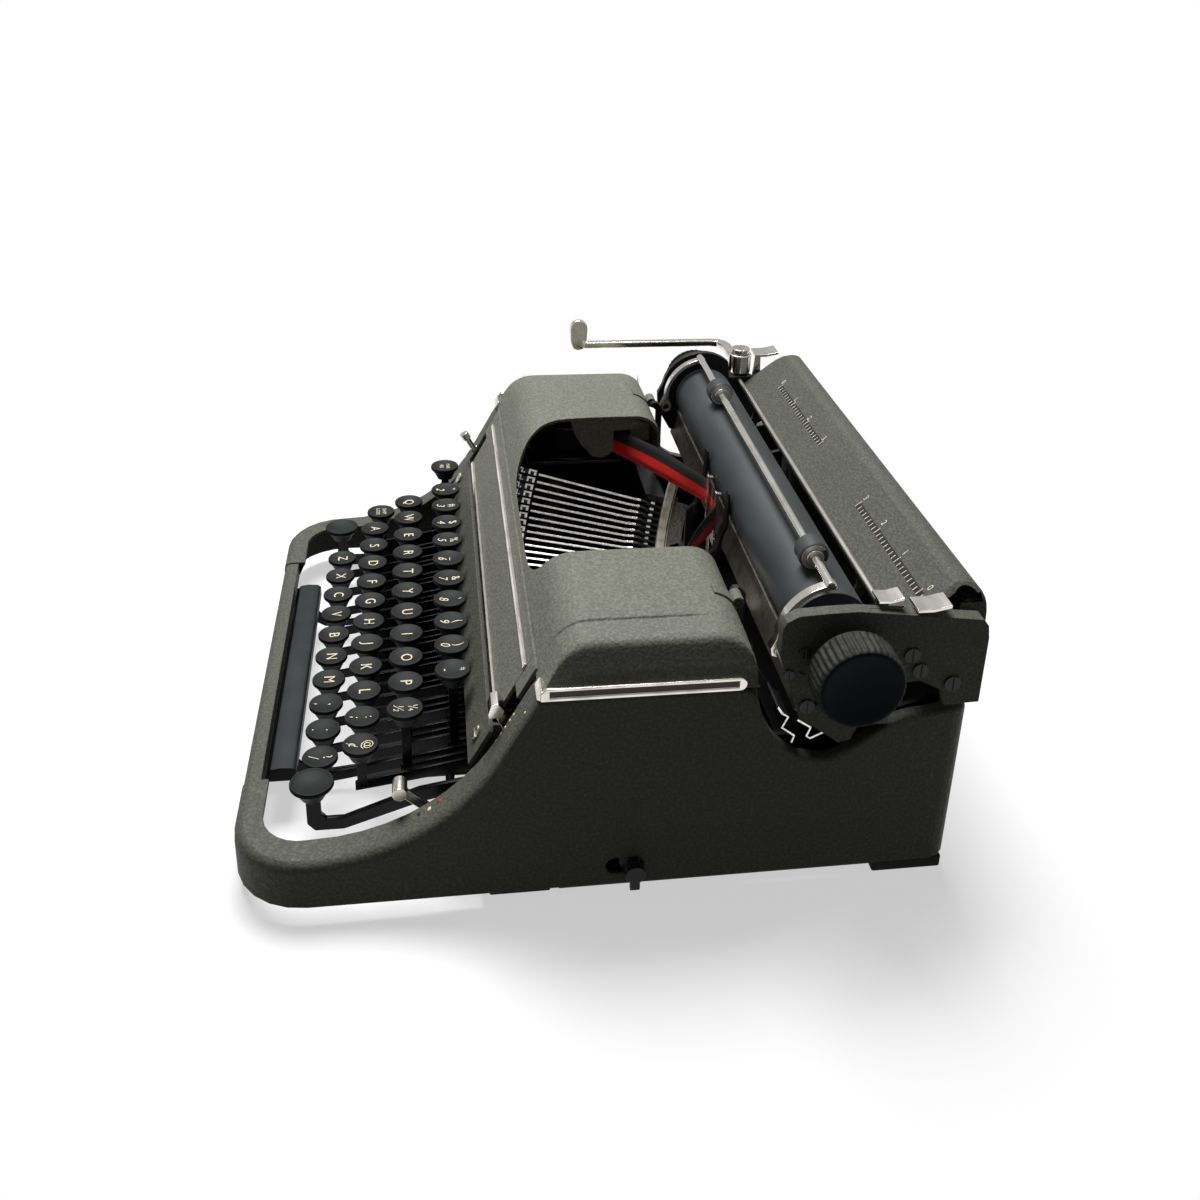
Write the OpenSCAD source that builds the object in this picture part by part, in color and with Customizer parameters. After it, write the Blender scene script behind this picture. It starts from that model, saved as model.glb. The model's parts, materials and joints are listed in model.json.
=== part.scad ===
// Portable manual typewriter, all sizes in millimetres.
// Frame: +X to the typist's right, +Y to the rear, +Z up, z = 0 on the table.

/* [Body] */
// from the middle of the last letter key to the outer side
side_space = 57.9; // [54:0.1:62]
// from the middle of the lower key row to the front face
front_space = 32.3; // [31:0.1:36]
// rear wall, distance behind the origin
rear_reach = 144.8; // [135:0.2:155]
// height of the rubber feet under the shell
foot_height = 6; // [4:0.5:10]
// rim height beside the keyboard
rim_height = 27; // [24:0.5:32]
// rim width beside the keyboard
rim_width = 15; // [12:0.5:18]
// rounding of the rim's outer edge
rim_round = 4.5; // [2:0.5:6]
// radius of the front corners in plan
corner_radius = 30; // [24:0.5:36]
// radius of the hollow sweep in the side outline
sweep_radius = 85.4; // [75:0.2:95]
// angle of the straight front slope
slope_angle = 61; // [55:0.5:65]
// sheet thickness of shell and cover
sheet = 2; // [1.6:0.1:2.5]
// half length of the front bar
front_bar_half = 92; // [80:0.5:100]
// depth of the front bar
front_bar_depth = 8; // [6:0.2:10]

/* [Top cover] */
// height of the cover's flat top
cover_top = 118; // [112:0.5:122]
// height of the parting line between cover and shell
belt_height = 96; // [92:0.5:98]
// rounding of the cover's front crown
crown_radius = 16; // [10:0.5:22]
// rounding of the cover's rear crown
rear_crown = 14; // [8:0.5:18]
// rear face of the cover
cover_rear = 56.5; // [52:0.5:58]
// rounding of the cover's side edges
cover_round = 7; // [6:0.5:14]
// half width of the type opening
opening_half = 71; // [60:0.5:78]
// gap between the name panel and the inner frame's outer face
panel_gap = 6; // [4:0.5:9]
// hinge line height of the cover
hinge_height = 112.4; // [110:0.2:113]

/* [Keyboard] */
// key pitch, three quarters of an inch
key_pitch = 19.05; // [18:0.05:20]
// radius of a key top
key_radius = 7.5; // [6.5:0.1:8.5]
// radius of a shift key top
shift_radius = 9; // [8:0.2:10]
// depth of a key top with its tapered skirt
key_depth = 7.4; // [5:0.2:8]
// thickness of a key lever
lever_thick = 1.2; // [1:0.1:1.6]
// height of a key lever
lever_tall = 6; // [4:0.2:8]
// lever height under the front plate
lever_front_z = 33; // [30:0.5:36]
// fulcrum rod position behind the origin
fulcrum_y = 75; // [65:0.5:85]
// fulcrum rod height
fulcrum_z = 22; // [18:0.5:26]
// radius of the fulcrum rod
fulcrum_r = 2; // [1.5:0.1:3]

/* [Type basket] */
// typebars in the basket
bar_count = 42; // [40:1:46]
// radius of the pivot circle
basket_radius = 70.8; // [65:0.2:75]
// half angle of the basket
basket_half = 57.5; // [50:0.5:62]
// tilt of the basket axis below level
basket_tilt = 20; // [10:0.5:30]
// outward fan of the resting typebars
basket_fan = 12.8; // [6:0.2:18]
// pivot circle centre behind the origin
basket_y = 62.8; // [58:0.2:66]
// pivot circle centre height
basket_z = 107.7; // [102:0.2:112]
// typebar thickness
bar_thick = 1.3; // [1:0.1:1.8]
// type slug width
slug_wide = 3; // [2.4:0.1:3.4]

/* [Carriage] */
// platen axis behind the origin
platen_y = 88.2; // [86:0.2:90]
// platen axis height
platen_z = 111.3; // [108:0.2:114]
// platen radius
platen_radius = 16; // [14:0.2:17]
// left end of the platen
platen_left = -114; // [-116:0.5:-104]
// right end of the platen
platen_right = 130; // [120:0.5:132]
// platen shaft radius
shaft_r = 3; // [2.5:0.1:4]
// right knob radius
knob_radius = 17.1; // [15:0.1:18]
// depth of the right knob
knob_depth = 20; // [14:0.5:24]
// depth of the left knob
left_knob_depth = 14; // [11:0.5:16]
// left knob radius
left_knob_radius = 16; // [14:0.1:16.5]
// bail rod behind the origin
bail_y = 85; // [82:0.2:87]
// bail rod height
bail_z = 133.6; // [132:0.1:136]
// bail rod radius
bail_r = 1.75; // [1.5:0.05:2.5]
// bail roller radius
bail_roller_r = 6.2; // [5:0.1:6.3]
// paper rod behind the origin
paper_rod_y = 110.5; // [108:0.2:114]
// paper rod height
paper_rod_z = 116.5; // [114:0.2:120]
// how far the right end plate stands outside the body
end_plate_out = 4; // [3:0.2:6]
// shift lift of the carriage
shift_lift = 6; // [5:0.2:7]

/* [Fits] */
// radial running clearance of shafts in bores
running = 0.05; // [0.02:0.01:0.1]
// sliding gap beside guides and slots
sliding = 0.3; // [0.2:0.05:0.5]
// gap under a piece that sits on another
seat = 0.02; // [0.01:0.01:0.05]
// gap between a knob and its end plate
knob_gap = 2; // [1:0.1:3]

/* [Hidden] */
$fn = 32;

// key places: pitch steps from the middle, row heights
row_y = [-57.7, -77.7, -96.4, -114.1];
row_z = [71, 59.6, 46.3, 33.9];
row_first = [0, -0.5, -0.25, 0.25];
row_count = [10, 11, 11, 10];
middle_step = 4.625;
type_key_place = 5;
function key_x(row, i) = (row_first[row] + i - middle_step) * key_pitch;

// body limits that follow the keyboard
half_width = round(10 * (middle_step * key_pitch + side_space)) / 10;
front_reach = front_space - row_y[3];
frame_out = half_width - 21;
frame_in = frame_out - 3;
panel_half = frame_out - panel_gap;
end_plate_x = half_width + end_plate_out;
side_reach = end_plate_x + knob_gap + knob_depth;

// side outline: flat rim, hollow sweep, straight slope, crown
slope_y = -41.35;
slope_z = rim_height + sweep_radius * (1 - cos(slope_angle));
sweep_y = slope_y - sweep_radius * sin(slope_angle);
top_corner_y = slope_y + (cover_top - slope_z) / tan(slope_angle);
crown_run = crown_radius * tan(slope_angle / 2);
function rim_z(y) = y < sweep_y ? rim_height
  : y < slope_y ? rim_height + sweep_radius - sqrt(pow(sweep_radius, 2) - pow(y - sweep_y, 2))
  : min(belt_height, slope_z + (y - slope_y) * tan(slope_angle));
function rim_slope(y) = y < sweep_y ? 0
  : y < slope_y ? asin((y - sweep_y) / sweep_radius)
  : rim_z(y) < belt_height ? slope_angle : 0;
slope_base = [slope_y - 2.25, slope_z - 2.1];
function on_slope(t, d) = slope_base
  + [t * cos(slope_angle) - d * sin(slope_angle), t * sin(slope_angle) + d * cos(slope_angle)];
function arc(cy, cz, r, a0, a1, n) =
  [for (i = [0:n]) let (a = a0 + (a1 - a0) * i / n) [cy + r * cos(a), cz + r * sin(a)]];

// key levers
comb_y = -48;
function lever_z(y) = y < -50 ? lever_front_z + 0.17 * (y + 50)
  : lever_front_z + (fulcrum_z - lever_front_z) * (y + 50) / (fulcrum_y + 50);

// basket places
bar_step = 2 * basket_half / (bar_count - 1);
type_bar_place = 21;
pivot_pin_r = 0.8;
bar_length = basket_radius - 0.8;

// carriage places
bail_pivot = [66.5, 106];
bail_band = 4.6;
release_pivot = [121, 110];
paper_release_pivot = [104, 120];
feed_front = [79.6, 91.6];
feed_rear = [97.5, 92.0];
feed_r = 5;
feed_axle = 1.5;
margin_rail = [134, 100];
left_plate_x = platen_left - 12;
left_plate_in = left_plate_x + 4;
right_plate_in = end_plate_x - 3.2;
left_knob_x = left_plate_x - 7.5;
table_right = end_plate_x - 8;
stem_x = platen_right + 2.4;
lever_pivot = [-130, 112];
spool_x = 98;
spool_y = 10;
drum_x = -88;
drum_z = 40;
touch_pivot = [-25, 46];
selector_pivot = [-58, 22];
shift_right_x = frame_in - 15;
shift_left_x = 6.4 - frame_in;
margin_key_x = 13.6 - frame_in;
lock_key_x = 13.4 - frame_in;
lock_lever_x = 10.4 - frame_in;
space_pivot = [-60, 14];
plate_screw_x = frame_in - 4.8;
cover_hinge = [cover_rear - 0.3, hinge_height];
hinge_pin_r = 1.2;
hinge_x = 98;
finger_x = 24;

module x_plate(x0, x1, outline) {
  translate([x0, 0, 0])
    rotate([90, 0, 90])
      linear_extrude(height = x1 - x0)
        polygon(outline);
}

module x_rod(x0, x1, at, r) {
  translate([x0, at[0], at[1]])
    rotate([0, 90, 0])
      cylinder(h = x1 - x0, r = r);
}

module block(low, high) {
  translate(low)
    cube(high - low);
}

// closed sections joined in a row, with flat ends
module swept(rows) {
  n = len(rows);
  m = len(rows[0]);
  polyhedron(
    points = [for (row = rows) each row],
    faces = concat(
      [for (i = [0:n - 2], j = [0:m - 1]) [i * m + j, (i + 1) * m + (j + 1) % m, i * m + (j + 1) % m]],
      [for (i = [0:n - 2], j = [0:m - 1]) [i * m + j, (i + 1) * m + j, (i + 1) * m + (j + 1) % m]],
      [[for (j = [0:m - 1]) j]],
      [[for (j = [m - 1:-1:0]) (n - 1) * m + j]]));
}

// the shell's wall path on the right side: x, y, outward angle, top, rim width, edge rounding
side_ys = [-105, -95, -86, -77, -69, -62, -55.5, -50, -45.5, -41.35, -37, -33, -29.5];
gap_path = [[56.5, 95], [58.5, 87.5], [60.6, 81], [63.8, 75], [67.6, 70], [72, 66], [76.6, 63],
  [82.5, 61.4],
  [88.6, 61], [92.6, 62.6], [96.6, 65], [104.6, 71], [110, 75], [115.6, 78], [121, 79.4], [127.6, 80]];
shell_path = concat(
  [[front_bar_half, -front_reach, -90, rim_height, 11.4, rim_round]],
  [for (a = [-90:15:0]) [half_width - corner_radius + corner_radius * cos(a),
    corner_radius - front_reach + corner_radius * sin(a), a, rim_height,
    11.4 + (rim_width - 11.4) * (a + 90) / 90, rim_round]],
  [for (y = side_ys) [half_width, y, 0, rim_z(y), rim_width, rim_round]],
  [[half_width, -27, 0, belt_height, rim_width, rim_round * 0.6],
    [half_width, -20, 0, belt_height, 10, 2],
    [half_width, 52, 0, belt_height, 10, 2]],
  [for (p = gap_path) [half_width, p[0], 0, p[1], 6, 2]],
  [for (a = [0:30:90]) [half_width - 8 + 8 * cos(a), rear_reach - 8 + 8 * sin(a), a, 81.5, 6, 2]],
  [[120, rear_reach, 90, 81.5, 6, 2]]);
function shell_section(p, side) = let (
    c = cos(p[2]), s = sin(p[2]), z = p[3], r = p[5], w = p[4],
    t = sheet / max(0.48, cos(p[2] == 0 ? rim_slope(p[1]) : 0)),
    loop = [[0, foot_height], [0, z - r], [r * 0.134, z - r * 0.5], [r * 0.5, z - r * 0.134], [r, z],
      [w, z], [w, z - t], [sheet + 2, z - t], [sheet, z - t - 2], [sheet, foot_height]])
  [for (q = loop) [side * (p[0] - q[0] * c), p[1] - q[0] * s, q[1]]];
function reversed(v) = [for (i = [len(v) - 1:-1:0]) v[i]];

// painted shell: both sides, front corners and rear wall in one sheet
module body_shell() {
  color([0.35, 0.34, 0.31])
    difference() {
      swept(concat(
        [for (p = shell_path) shell_section(p, 1)],
        [for (p = reversed(shell_path)) shell_section(p, -1)]));
      // slot of the carriage lock stud
      block([half_width - 5, 4.4, 11], [half_width + 1, 11.6, 19]);
      for (y = [4.4, 11.6])
        x_rod(half_width - 5, half_width + 1, [y, 15], 4);
    }
}

// bar that closes the shell's front between the corners
front_step = 0.6;
module front_bar() {
  face = front_step - front_reach;
  top = rim_height - front_step;
  in_y = front_bar_depth - front_reach;
  color([0.36, 0.35, 0.32])
    x_plate(0.2 - front_bar_half, front_bar_half - 0.2, concat(
      [[face, foot_height]],
      arc(face + 3.5, top - 3.5, 3.5, 180, 90, 4),
      [[in_y, top], [in_y, top - 8], [in_y - 1.6, top - 8],
        [in_y - 1.6, top - sheet], [face + sheet, top - sheet],
        [face + sheet, foot_height]]));
}

// fixed plate between the keys and the lower bright strip
plate_face = 1.6;
plate_screw = on_slope(-7.8, plate_face);
module front_plate() {
  low = on_slope(-16.8, plate_face - sheet);
  high = on_slope(0.8, plate_face - sheet);
  half = frame_out + 2;
  color([0.35, 0.34, 0.31])
    difference() {
      union() {
        x_plate(-half, half, [on_slope(-16.8, plate_face), on_slope(0.8, plate_face), high, low]);
        for (x = [-frame_in, frame_in - 2])
          x_plate(x, x + 2, [low, high, [-30, high[1]], [-30, 46], [-45, 40]]);
      }
      for (x = [-plate_screw_x, plate_screw_x])
        translate([x, plate_screw[0], plate_screw[1]])
          rotate([slope_angle, 0, 0])
            cylinder(h = 12, r = 1.5 + running, center = true);
    }
}

// bright mouldings along the parting line, each with a groove
trim_half = 2.8;
trim_z = belt_height + 1.1 + trim_half;
module side_trims() {
  color([0.8, 0.8, 0.8])
    for (side = [-1, 1])
      translate([side > 0 ? half_width : -half_width - 1.6, 0, 0])
        difference() {
          x_plate(0, 1.6, concat([[-26.4, trim_z - trim_half]], arc(49.2, trim_z, trim_half, -90, 90, 8),
            [[-24.2, trim_z + trim_half], [-26.4, trim_z + 0.4]]));
          translate([side > 0 ? 0.8 : -0.2, -23, trim_z - 1.5])
            cube([1, 72, 3]);
        }
}

module rubber_feet() {
  color([0.05, 0.05, 0.05])
    for (side = [-1, 1], foot = [[-46, 25, 18], [113, 30, 14]])
      translate([side > 0 ? half_width - foot[2] : foot[2] - 13 - half_width, foot[0], 0])
        cube([13, foot[1], foot_height]);
}

// black inner frame: side plates, cross bars, space-bar shaft, lift pins, lever pins
module chassis() {
  side = [[-66, 10], [-66, 30], [-52, 44], [-25, 52], [-12, 60], [-5, 88], [52, 88], [58, 72], [66, 58],
    [104, 58], [112, 66], [140, 72], [140, 10]];
  color([0.06, 0.06, 0.065]) {
    difference() {
      union() {
        x_plate(frame_in, frame_out, side);
        x_plate(-frame_out, -frame_in, side);
      }
      x_rod(-frame_out - 5, frame_out + 5, [fulcrum_y, fulcrum_z], fulcrum_r);
    }
    block([-frame_in, 132, 12], [frame_in, 138, 54]);
    block([-frame_in, 96, 40], [frame_in, 104, 48]);
    block([-frame_in, 58, 50], [frame_in, 66, 56]);
    x_rod(-frame_in, frame_in, space_pivot, 2);
    for (x = [-95, 95])
      translate([x, 100, 48])
        cylinder(h = 23, r = 3);
    // brackets to the shell's side walls
    for (s = [-1, 1], y = [[-50, -20], [104, 134]])
      block([s > 0 ? frame_out : -half_width + sheet, y[0], foot_height],
        [s > 0 ? half_width - sheet : -frame_out, y[1], 12]);
    x_rod(frame_out, frame_out + 4, touch_pivot, 1.5);
    x_rod(-frame_out - 4, -frame_out, touch_pivot, 1.5);
    x_rod(frame_out, frame_out + 4, selector_pivot, 1.5);
    // posts and pins of the cover's hinge
    for (s = [-1, 1]) {
      x_plate(s > 0 ? hinge_x : -hinge_x - 3, s > 0 ? hinge_x + 3 : -hinge_x,
        [[cover_rear + 1.9, 55], [cover_rear + 5.1, 55], [cover_rear + 5.1, hinge_height - 1.4],
          [cover_rear + 2.1, hinge_height + 1.8], [cover_hinge[0], hinge_height + 1.8],
          [cover_hinge[0] - 1, hinge_height], [cover_rear + 1.9, hinge_height - 3]]);
      x_rod(s > 0 ? hinge_x : -hinge_x - 12, s > 0 ? hinge_x + 12 : -hinge_x, cover_hinge, hinge_pin_r);
    }
    // pivot pin of the mainspring drum
    translate([drum_x, 114, drum_z])
      rotate([-90, 0, 0])
        cylinder(h = 18, r = 2.5);
  }
}

// slotted guide that keeps the key levers apart
module key_comb() {
  color([0.12, 0.12, 0.13])
    difference() {
      block([-frame_in, comb_y - 1, 12], [frame_in, comb_y + 1, 42]);
      for (row = [0:3], i = [0:row_count[row] - 1])
        translate([key_x(row, i) - lever_thick / 2 - sliding, comb_y - 2, 16])
          cube([lever_thick + 2 * sliding, 4, 22.5]);
      for (s = [-1, 1])
        block([s > 0 ? frame_in - 21.5 : 3 - frame_in, comb_y - 2, 9],
          [s > 0 ? frame_in - 3 : 21.5 - frame_in, comb_y + 2, 39]);
    }
}

module fulcrum_rod() {
  color([0.6, 0.6, 0.6])
    x_rod(-frame_out, frame_out, [fulcrum_y, fulcrum_z], fulcrum_r);
}

// frame of the pivot circle: +Y towards the platen, -Z to the lowest bar
module in_basket(place) {
  translate([0, basket_y, basket_z])
    rotate([-basket_tilt, 0, 0])
      rotate([0, basket_half - place * bar_step, 0])
        translate([0, 0, -basket_radius])
          children();
}

module basket_ring(r0, r1, y0, y1, half) {
  translate([0, basket_y, basket_z])
    rotate([-basket_tilt, 0, 0])
      rotate([90, 0, 0])
        rotate([0, 0, -90 - half])
          rotate_extrude(angle = 2 * half, $fn = 96)
            translate([r0, -y1])
              square([r1 - r0, y1 - y0]);
}

// slotted arc that carries all typebar pivots
module segment() {
  lug_x = basket_radius - 8.8;
  lug_y = 49;
  color([0.7, 0.69, 0.66]) {
    difference() {
      union() {
        basket_ring(basket_radius - 5, basket_radius + 8, -3, 13, basket_half + 3.5);
        basket_ring(basket_radius - 6.5, basket_radius - 4.5, 7, 9.5, basket_half + 3.5);
        for (s = [-1, 1])
          block([s > 0 ? lug_x : -frame_in, lug_y, 64], [s > 0 ? frame_in : -lug_x, lug_y + 9, 74]);
      }
      for (i = [0:bar_count - 1])
        in_basket(i)
          translate([-bar_thick / 2 - sliding, -6, -5.4])
            cube([bar_thick + 2 * sliding, 11.4, 14]);
    }
    in_basket(type_bar_place)
      translate([-1.6, 0, 0])
        rotate([0, 90, 0])
          cylinder(h = 3.2, r = pivot_pin_r);
  }
}

// one typebar with its two-character slug, lying forward from the pivot
module one_typebar(bored) {
  rotate([basket_fan, 0, 0]) {
    difference() {
      translate([-bar_thick / 2, 0, 0])
        rotate([90, 0, 90])
          linear_extrude(height = bar_thick)
            polygon([[3.2, -2.4], [3.2, 1.6], [1.6, 3.2], [-4, 3.4], [-10, 2], [10 - bar_length, 1.7],
              [7 - bar_length, 1.2], [7 - bar_length, -1.2], [12 - bar_length, -1.6], [-12, -2],
              [-4, -3.6]]);
      if (bored)
        translate([-2, 0, 0])
          rotate([0, 90, 0])
            cylinder(h = 4, r = pivot_pin_r + running);
    }
    block([-slug_wide / 2, -bar_length - 3, -1.6], [slug_wide / 2, 8.5 - bar_length, 3]);
    for (y = [-bar_length - 2.2, 4.4 - bar_length])
      block([-1.1, y, 3], [1.1, y + 3.2, 3.7]);
  }
}

module typebars() {
  color([0.75, 0.75, 0.74])
    for (i = [0:bar_count - 1])
      if (i != type_bar_place)
        in_basket(i) {
          one_typebar(false);
          // pivot end held in its slot
          translate([-bar_thick / 2 - sliding, -1, -1])
            cube([bar_thick + 2 * sliding, 2, 2]);
        }
}

module type_bar() {
  color([0.78, 0.78, 0.77])
    in_basket(type_bar_place)
      one_typebar(true);
}

// padded arc that the resting typebars lie on
module typebar_rest() {
  arm_x = basket_radius + 0.8;
  color([0.1, 0.1, 0.1]) {
    basket_ring(basket_radius + 15.2, basket_radius + 18.4, -52, -44, basket_half);
    for (s = [-1, 1])
      block([s > 0 ? arm_x : -frame_in, -2, 76], [s > 0 ? frame_in : -arm_x, 3, 81]);
    // arms from the pad's ends to the cross pieces
    for (s = [-1, 1])
      x_plate(s > 0 ? arm_x : -arm_x - 2.4, s > 0 ? arm_x + 2.4 : -arm_x,
        [[-4, 66], [4, 62], [4, 81], [-2, 81]]);
  }
}

// type guide and the card fingers beside the printing point
module card_fingers() {
  color([0.07, 0.07, 0.075]) {
    block([-27, 62, 56], [27, 66, 60]);
    for (s = [-1, 1]) {
      x_plate(s * finger_x - 1.5, s * finger_x + 1.5, [[62, 58], [66, 58], [67, 86], [66, 90], [62, 86]]);
      x_plate(s * finger_x - 3, s * finger_x + 3, [[65, 84], [67.6, 84], [69.6, 98],
        [71.4, 102], [71.4, 119], [70.6, 119.4], [70.2, 114], [70.2, 102.4], [68.2, 98.4]]);
    }
  }
}

// shallow pans with the spool pins
module ribbon_cups() {
  color([0.08, 0.08, 0.085])
    for (s = [-1, 1]) {
      difference() {
        block([s > 0 ? 78 : -frame_out, -14, 88], [s > 0 ? frame_out : -78, 36, 90]);
        translate([s * 90, 28, 87])
          cylinder(h = 4, r = 3);
      }
      translate([s * spool_x, spool_y, 90])
        cylinder(h = 19.5, r = 2);
    }
}

module bell() {
  color([0.7, 0.68, 0.6])
    translate([86, 132, 36])
      rotate([90, 0, 0]) {
        cylinder(h = 16, r = 2.5);
        rotate_extrude()
          polygon([[0, 12], [8, 12], [13, 9], [16, 4], [16.6, 1], [18, 1], [17.4, 5], [14, 10.4],
            [8.6, 13.6], [0, 13.6]]);
      }
}

module slot_screw(r, h) {
  difference() {
    cylinder(h = h, r = r);
    translate([-r, -0.35, h - 0.5])
      cube([2 * r, 0.7, 1]);
  }
}

module frame_screws() {
  color([0.75, 0.75, 0.74]) {
    for (x = [-plate_screw_x, plate_screw_x])
      translate([x, plate_screw[0], plate_screw[1]])
        rotate([slope_angle, 0, 0]) {
          translate([0, 0, seat])
            slot_screw(3, 1.4);
          translate([0, 0, -4.6])
            cylinder(h = 5, r = 1.5);
        }
    for (s = [-1, 1], z = [66.5, 71.5])
      translate([s * (frame_out + seat), 53.5, z])
        rotate([0, s * 90, 0])
          slot_screw(2.2, 1.2);
  }
}

// two-colour band from spool to spool, standing on edge
module ribbon() {
  path = [[-86, 4.4], [-73, 35], [-42, 50], [-18, 65.4], [-10.4, 70.2], [10.4, 70.2], [18, 65.4],
    [42, 50],
    [73, 35], [86, 4.4]];
  color([0.5, 0.05, 0.05])
    translate([0, 0, 95])
      linear_extrude(height = 13)
        polygon(concat(path, [for (i = [len(path) - 1:-1:0]) path[i] + [0, 0.5]]));
}

module mainspring_drum() {
  color([0.55, 0.55, 0.55])
    translate([drum_x, 117, drum_z])
      rotate([-90, 0, 0])
        difference() {
          union() {
            cylinder(h = 12, r = 19);
            cylinder(h = 1.5, r = 21);
            translate([0, 0, 10.5])
              cylinder(h = 1.5, r = 21);
          }
          translate([0, 0, -1])
            cylinder(h = 14, r = 2.5 + running);
          for (a = [0:60:300])
            rotate([0, 0, a])
              translate([11, 0, -1])
                cylinder(h = 3, r = 3);
        }
}

// cover profile from the front edge over the crown to the rear edge, grown outwards by d
cover_low = belt_height + 1;
function cover_profile(d, low) = concat(
  [[slope_y + (low - slope_z) / tan(slope_angle) - d * sin(slope_angle), low + d * cos(slope_angle)]],
  arc(top_corner_y + crown_run, cover_top - crown_radius, crown_radius + d, 90 + slope_angle, 90, 6),
  arc(cover_rear - rear_crown, cover_top - rear_crown, rear_crown + d, 90, 0, 6),
  [[cover_rear + d, low]]);
function cover_rib(p, d, low) = let (r = max(0.05, min(cover_round + d, p[1] - low)), w = half_width + d)
  concat(
    [[-w, p[0], low], [-w, p[0], p[1] - r]],
    [for (a = [150, 120, 90]) [-w + r + r * cos(a), p[0], p[1] - r + r * sin(a)]],
    [for (a = [90, 60, 30]) [w - r + r * cos(a), p[0], p[1] - r + r * sin(a)]],
    [[w, p[0], p[1] - r], [w, p[0], low]]);

module cover_solid(d, low) {
  swept([for (p = cover_profile(d, low)) cover_rib([p[0], max(p[1], low + 0.05)], d, low)]);
}

// painted cover with both spool housings, open over the type basket
module top_cover() {
  w = opening_half;
  crown = [cover_rear - rear_crown, cover_top - rear_crown];
  color([0.35, 0.34, 0.31]) {
    // hinge leaves with their barrels
    for (s = [-1, 1]) {
      x0 = s > 0 ? hinge_x + 4 : -hinge_x - 12;
      difference() {
        union() {
          x_rod(x0, x0 + 8, cover_hinge, hinge_pin_r + 1.4);
          x_plate(x0, x0 + 8, concat(arc(crown[0], crown[1], rear_crown + 0.8, 30, 76, 5),
            arc(crown[0], crown[1], rear_crown - 0.8, 76, 30, 5)));
        }
        x_rod(x0 - 1, x0 + 9, cover_hinge, hinge_pin_r + running);
      }
    }
    difference() {
      cover_solid(0, cover_low);
      cover_solid(-sheet, cover_low - 3);
      translate([0, 0, 80])
        linear_extrude(height = 60)
          polygon([[w, 70], [w, 4], [w - 3, -6], [w - 11, -14], [w - 24, -19], [w - 44, -21.5], [0, -22],
            [44 - w, -21.5], [24 - w, -19], [11 - w, -14], [3 - w, -6], [-w, 4], [-w, 70]]);
    }
    x_plate(-panel_half, panel_half,
      [on_slope(2.6, 0), on_slope(35.1, 0), on_slope(35.1, -1.8), on_slope(2.6, -1.8)]);
  }
}

// bright strips above and below the name panel
module cover_strips() {
  color([0.82, 0.82, 0.82])
    for (k = [[panel_half - 3.6, 4.4], [panel_half, 28.6]])
      x_plate(-k[0], k[0], [for (q = [[-1.3, 0], [-0.9, 1.2], [0.9, 1.2], [1.3, 0]])
        on_slope(k[1] + q[0], seat + q[1])]);
}

// rounded tongues under the opening's edges, notched for the ribbon
module spool_tongues() {
  color([0.36, 0.35, 0.33])
    for (s = [-1, 1])
      x_plate(s > 0 ? opening_half : -opening_half - 1.4, s > 0 ? opening_half + 1.4 : -opening_half,
        concat([[42, cover_top - sheet], [50, 113], [50, 104], [40, 104], [40, 110], [31, 110], [31, 99]],
          arc(24, 102, 7.6, -30, -150, 6), [[14, 102], [10, 109], [8, cover_top - sheet]]));
}

// a key: dished top with skirt, post and flat lever back to the fulcrum
module one_key(x, y, z, r, lever_x) {
  front = [[y - 3, lever_z(y) - 2.5], [y - 3, lever_z(y) + 2], [y + 3, lever_z(y) + 3]];
  translate([x, y, z])
    rotate_extrude()
      polygon([[0, -1.1], [r - 2.5, -0.7], [r - 0.6, 0], [r, -0.5], [r, -1.8], [r - 0.8, -2.2],
        [r - 3.4, -key_depth], [0, -key_depth]]);
  block([x - 1, y - 2, lever_z(y) - 1], [x + 1, y + 2, z - key_depth + 1]);
  if (lever_x != x)
    block([lever_x - 1, y - 2, lever_z(y) - 1], [x + 1, y + 2, lever_z(y) + 3]);
  translate([lever_x - lever_thick / 2, 0, 0])
    difference() {
      rotate([90, 0, 90])
        linear_extrude(height = lever_thick)
          polygon(concat(front, [[-50, lever_front_z + lever_tall / 2],
            [fulcrum_y - 4, fulcrum_z + lever_tall / 2 + 0.4],
            [fulcrum_y + 3, fulcrum_z + 3.4], [fulcrum_y + 5, fulcrum_z],
              [fulcrum_y + 3, fulcrum_z - 3.4],
            [fulcrum_y - 4, fulcrum_z - lever_tall / 2], [-50, lever_front_z - lever_tall / 2]]));
      translate([-1, fulcrum_y, fulcrum_z])
        rotate([0, 90, 0])
          cylinder(h = lever_thick + 2, r = fulcrum_r + running);
    }
}

module key_row(row) {
  color([0.09, 0.1, 0.11])
    for (i = [0:row_count[row] - 1])
      if (row != 2 || i != type_key_place)
        one_key(key_x(row, i), row_y[row], row_z[row], key_radius, key_x(row, i));
}

module number_keys() {
  key_row(0);
}

module upper_keys() {
  key_row(1);
}

module home_keys() {
  key_row(2);
}

module lower_keys() {
  key_row(3);
}

module type_key() {
  color([0.09, 0.1, 0.11])
    one_key(key_x(2, type_key_place), row_y[2], row_z[2], key_radius, key_x(2, type_key_place));
}

module shift_lock_key() {
  color([0.09, 0.1, 0.11])
    one_key(lock_key_x, -93.5, 48.5, key_radius, lock_lever_x);
}

module margin_key() {
  color([0.09, 0.1, 0.11])
    one_key(margin_key_x, -57.6, 75.5, key_radius, margin_key_x);
}

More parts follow.
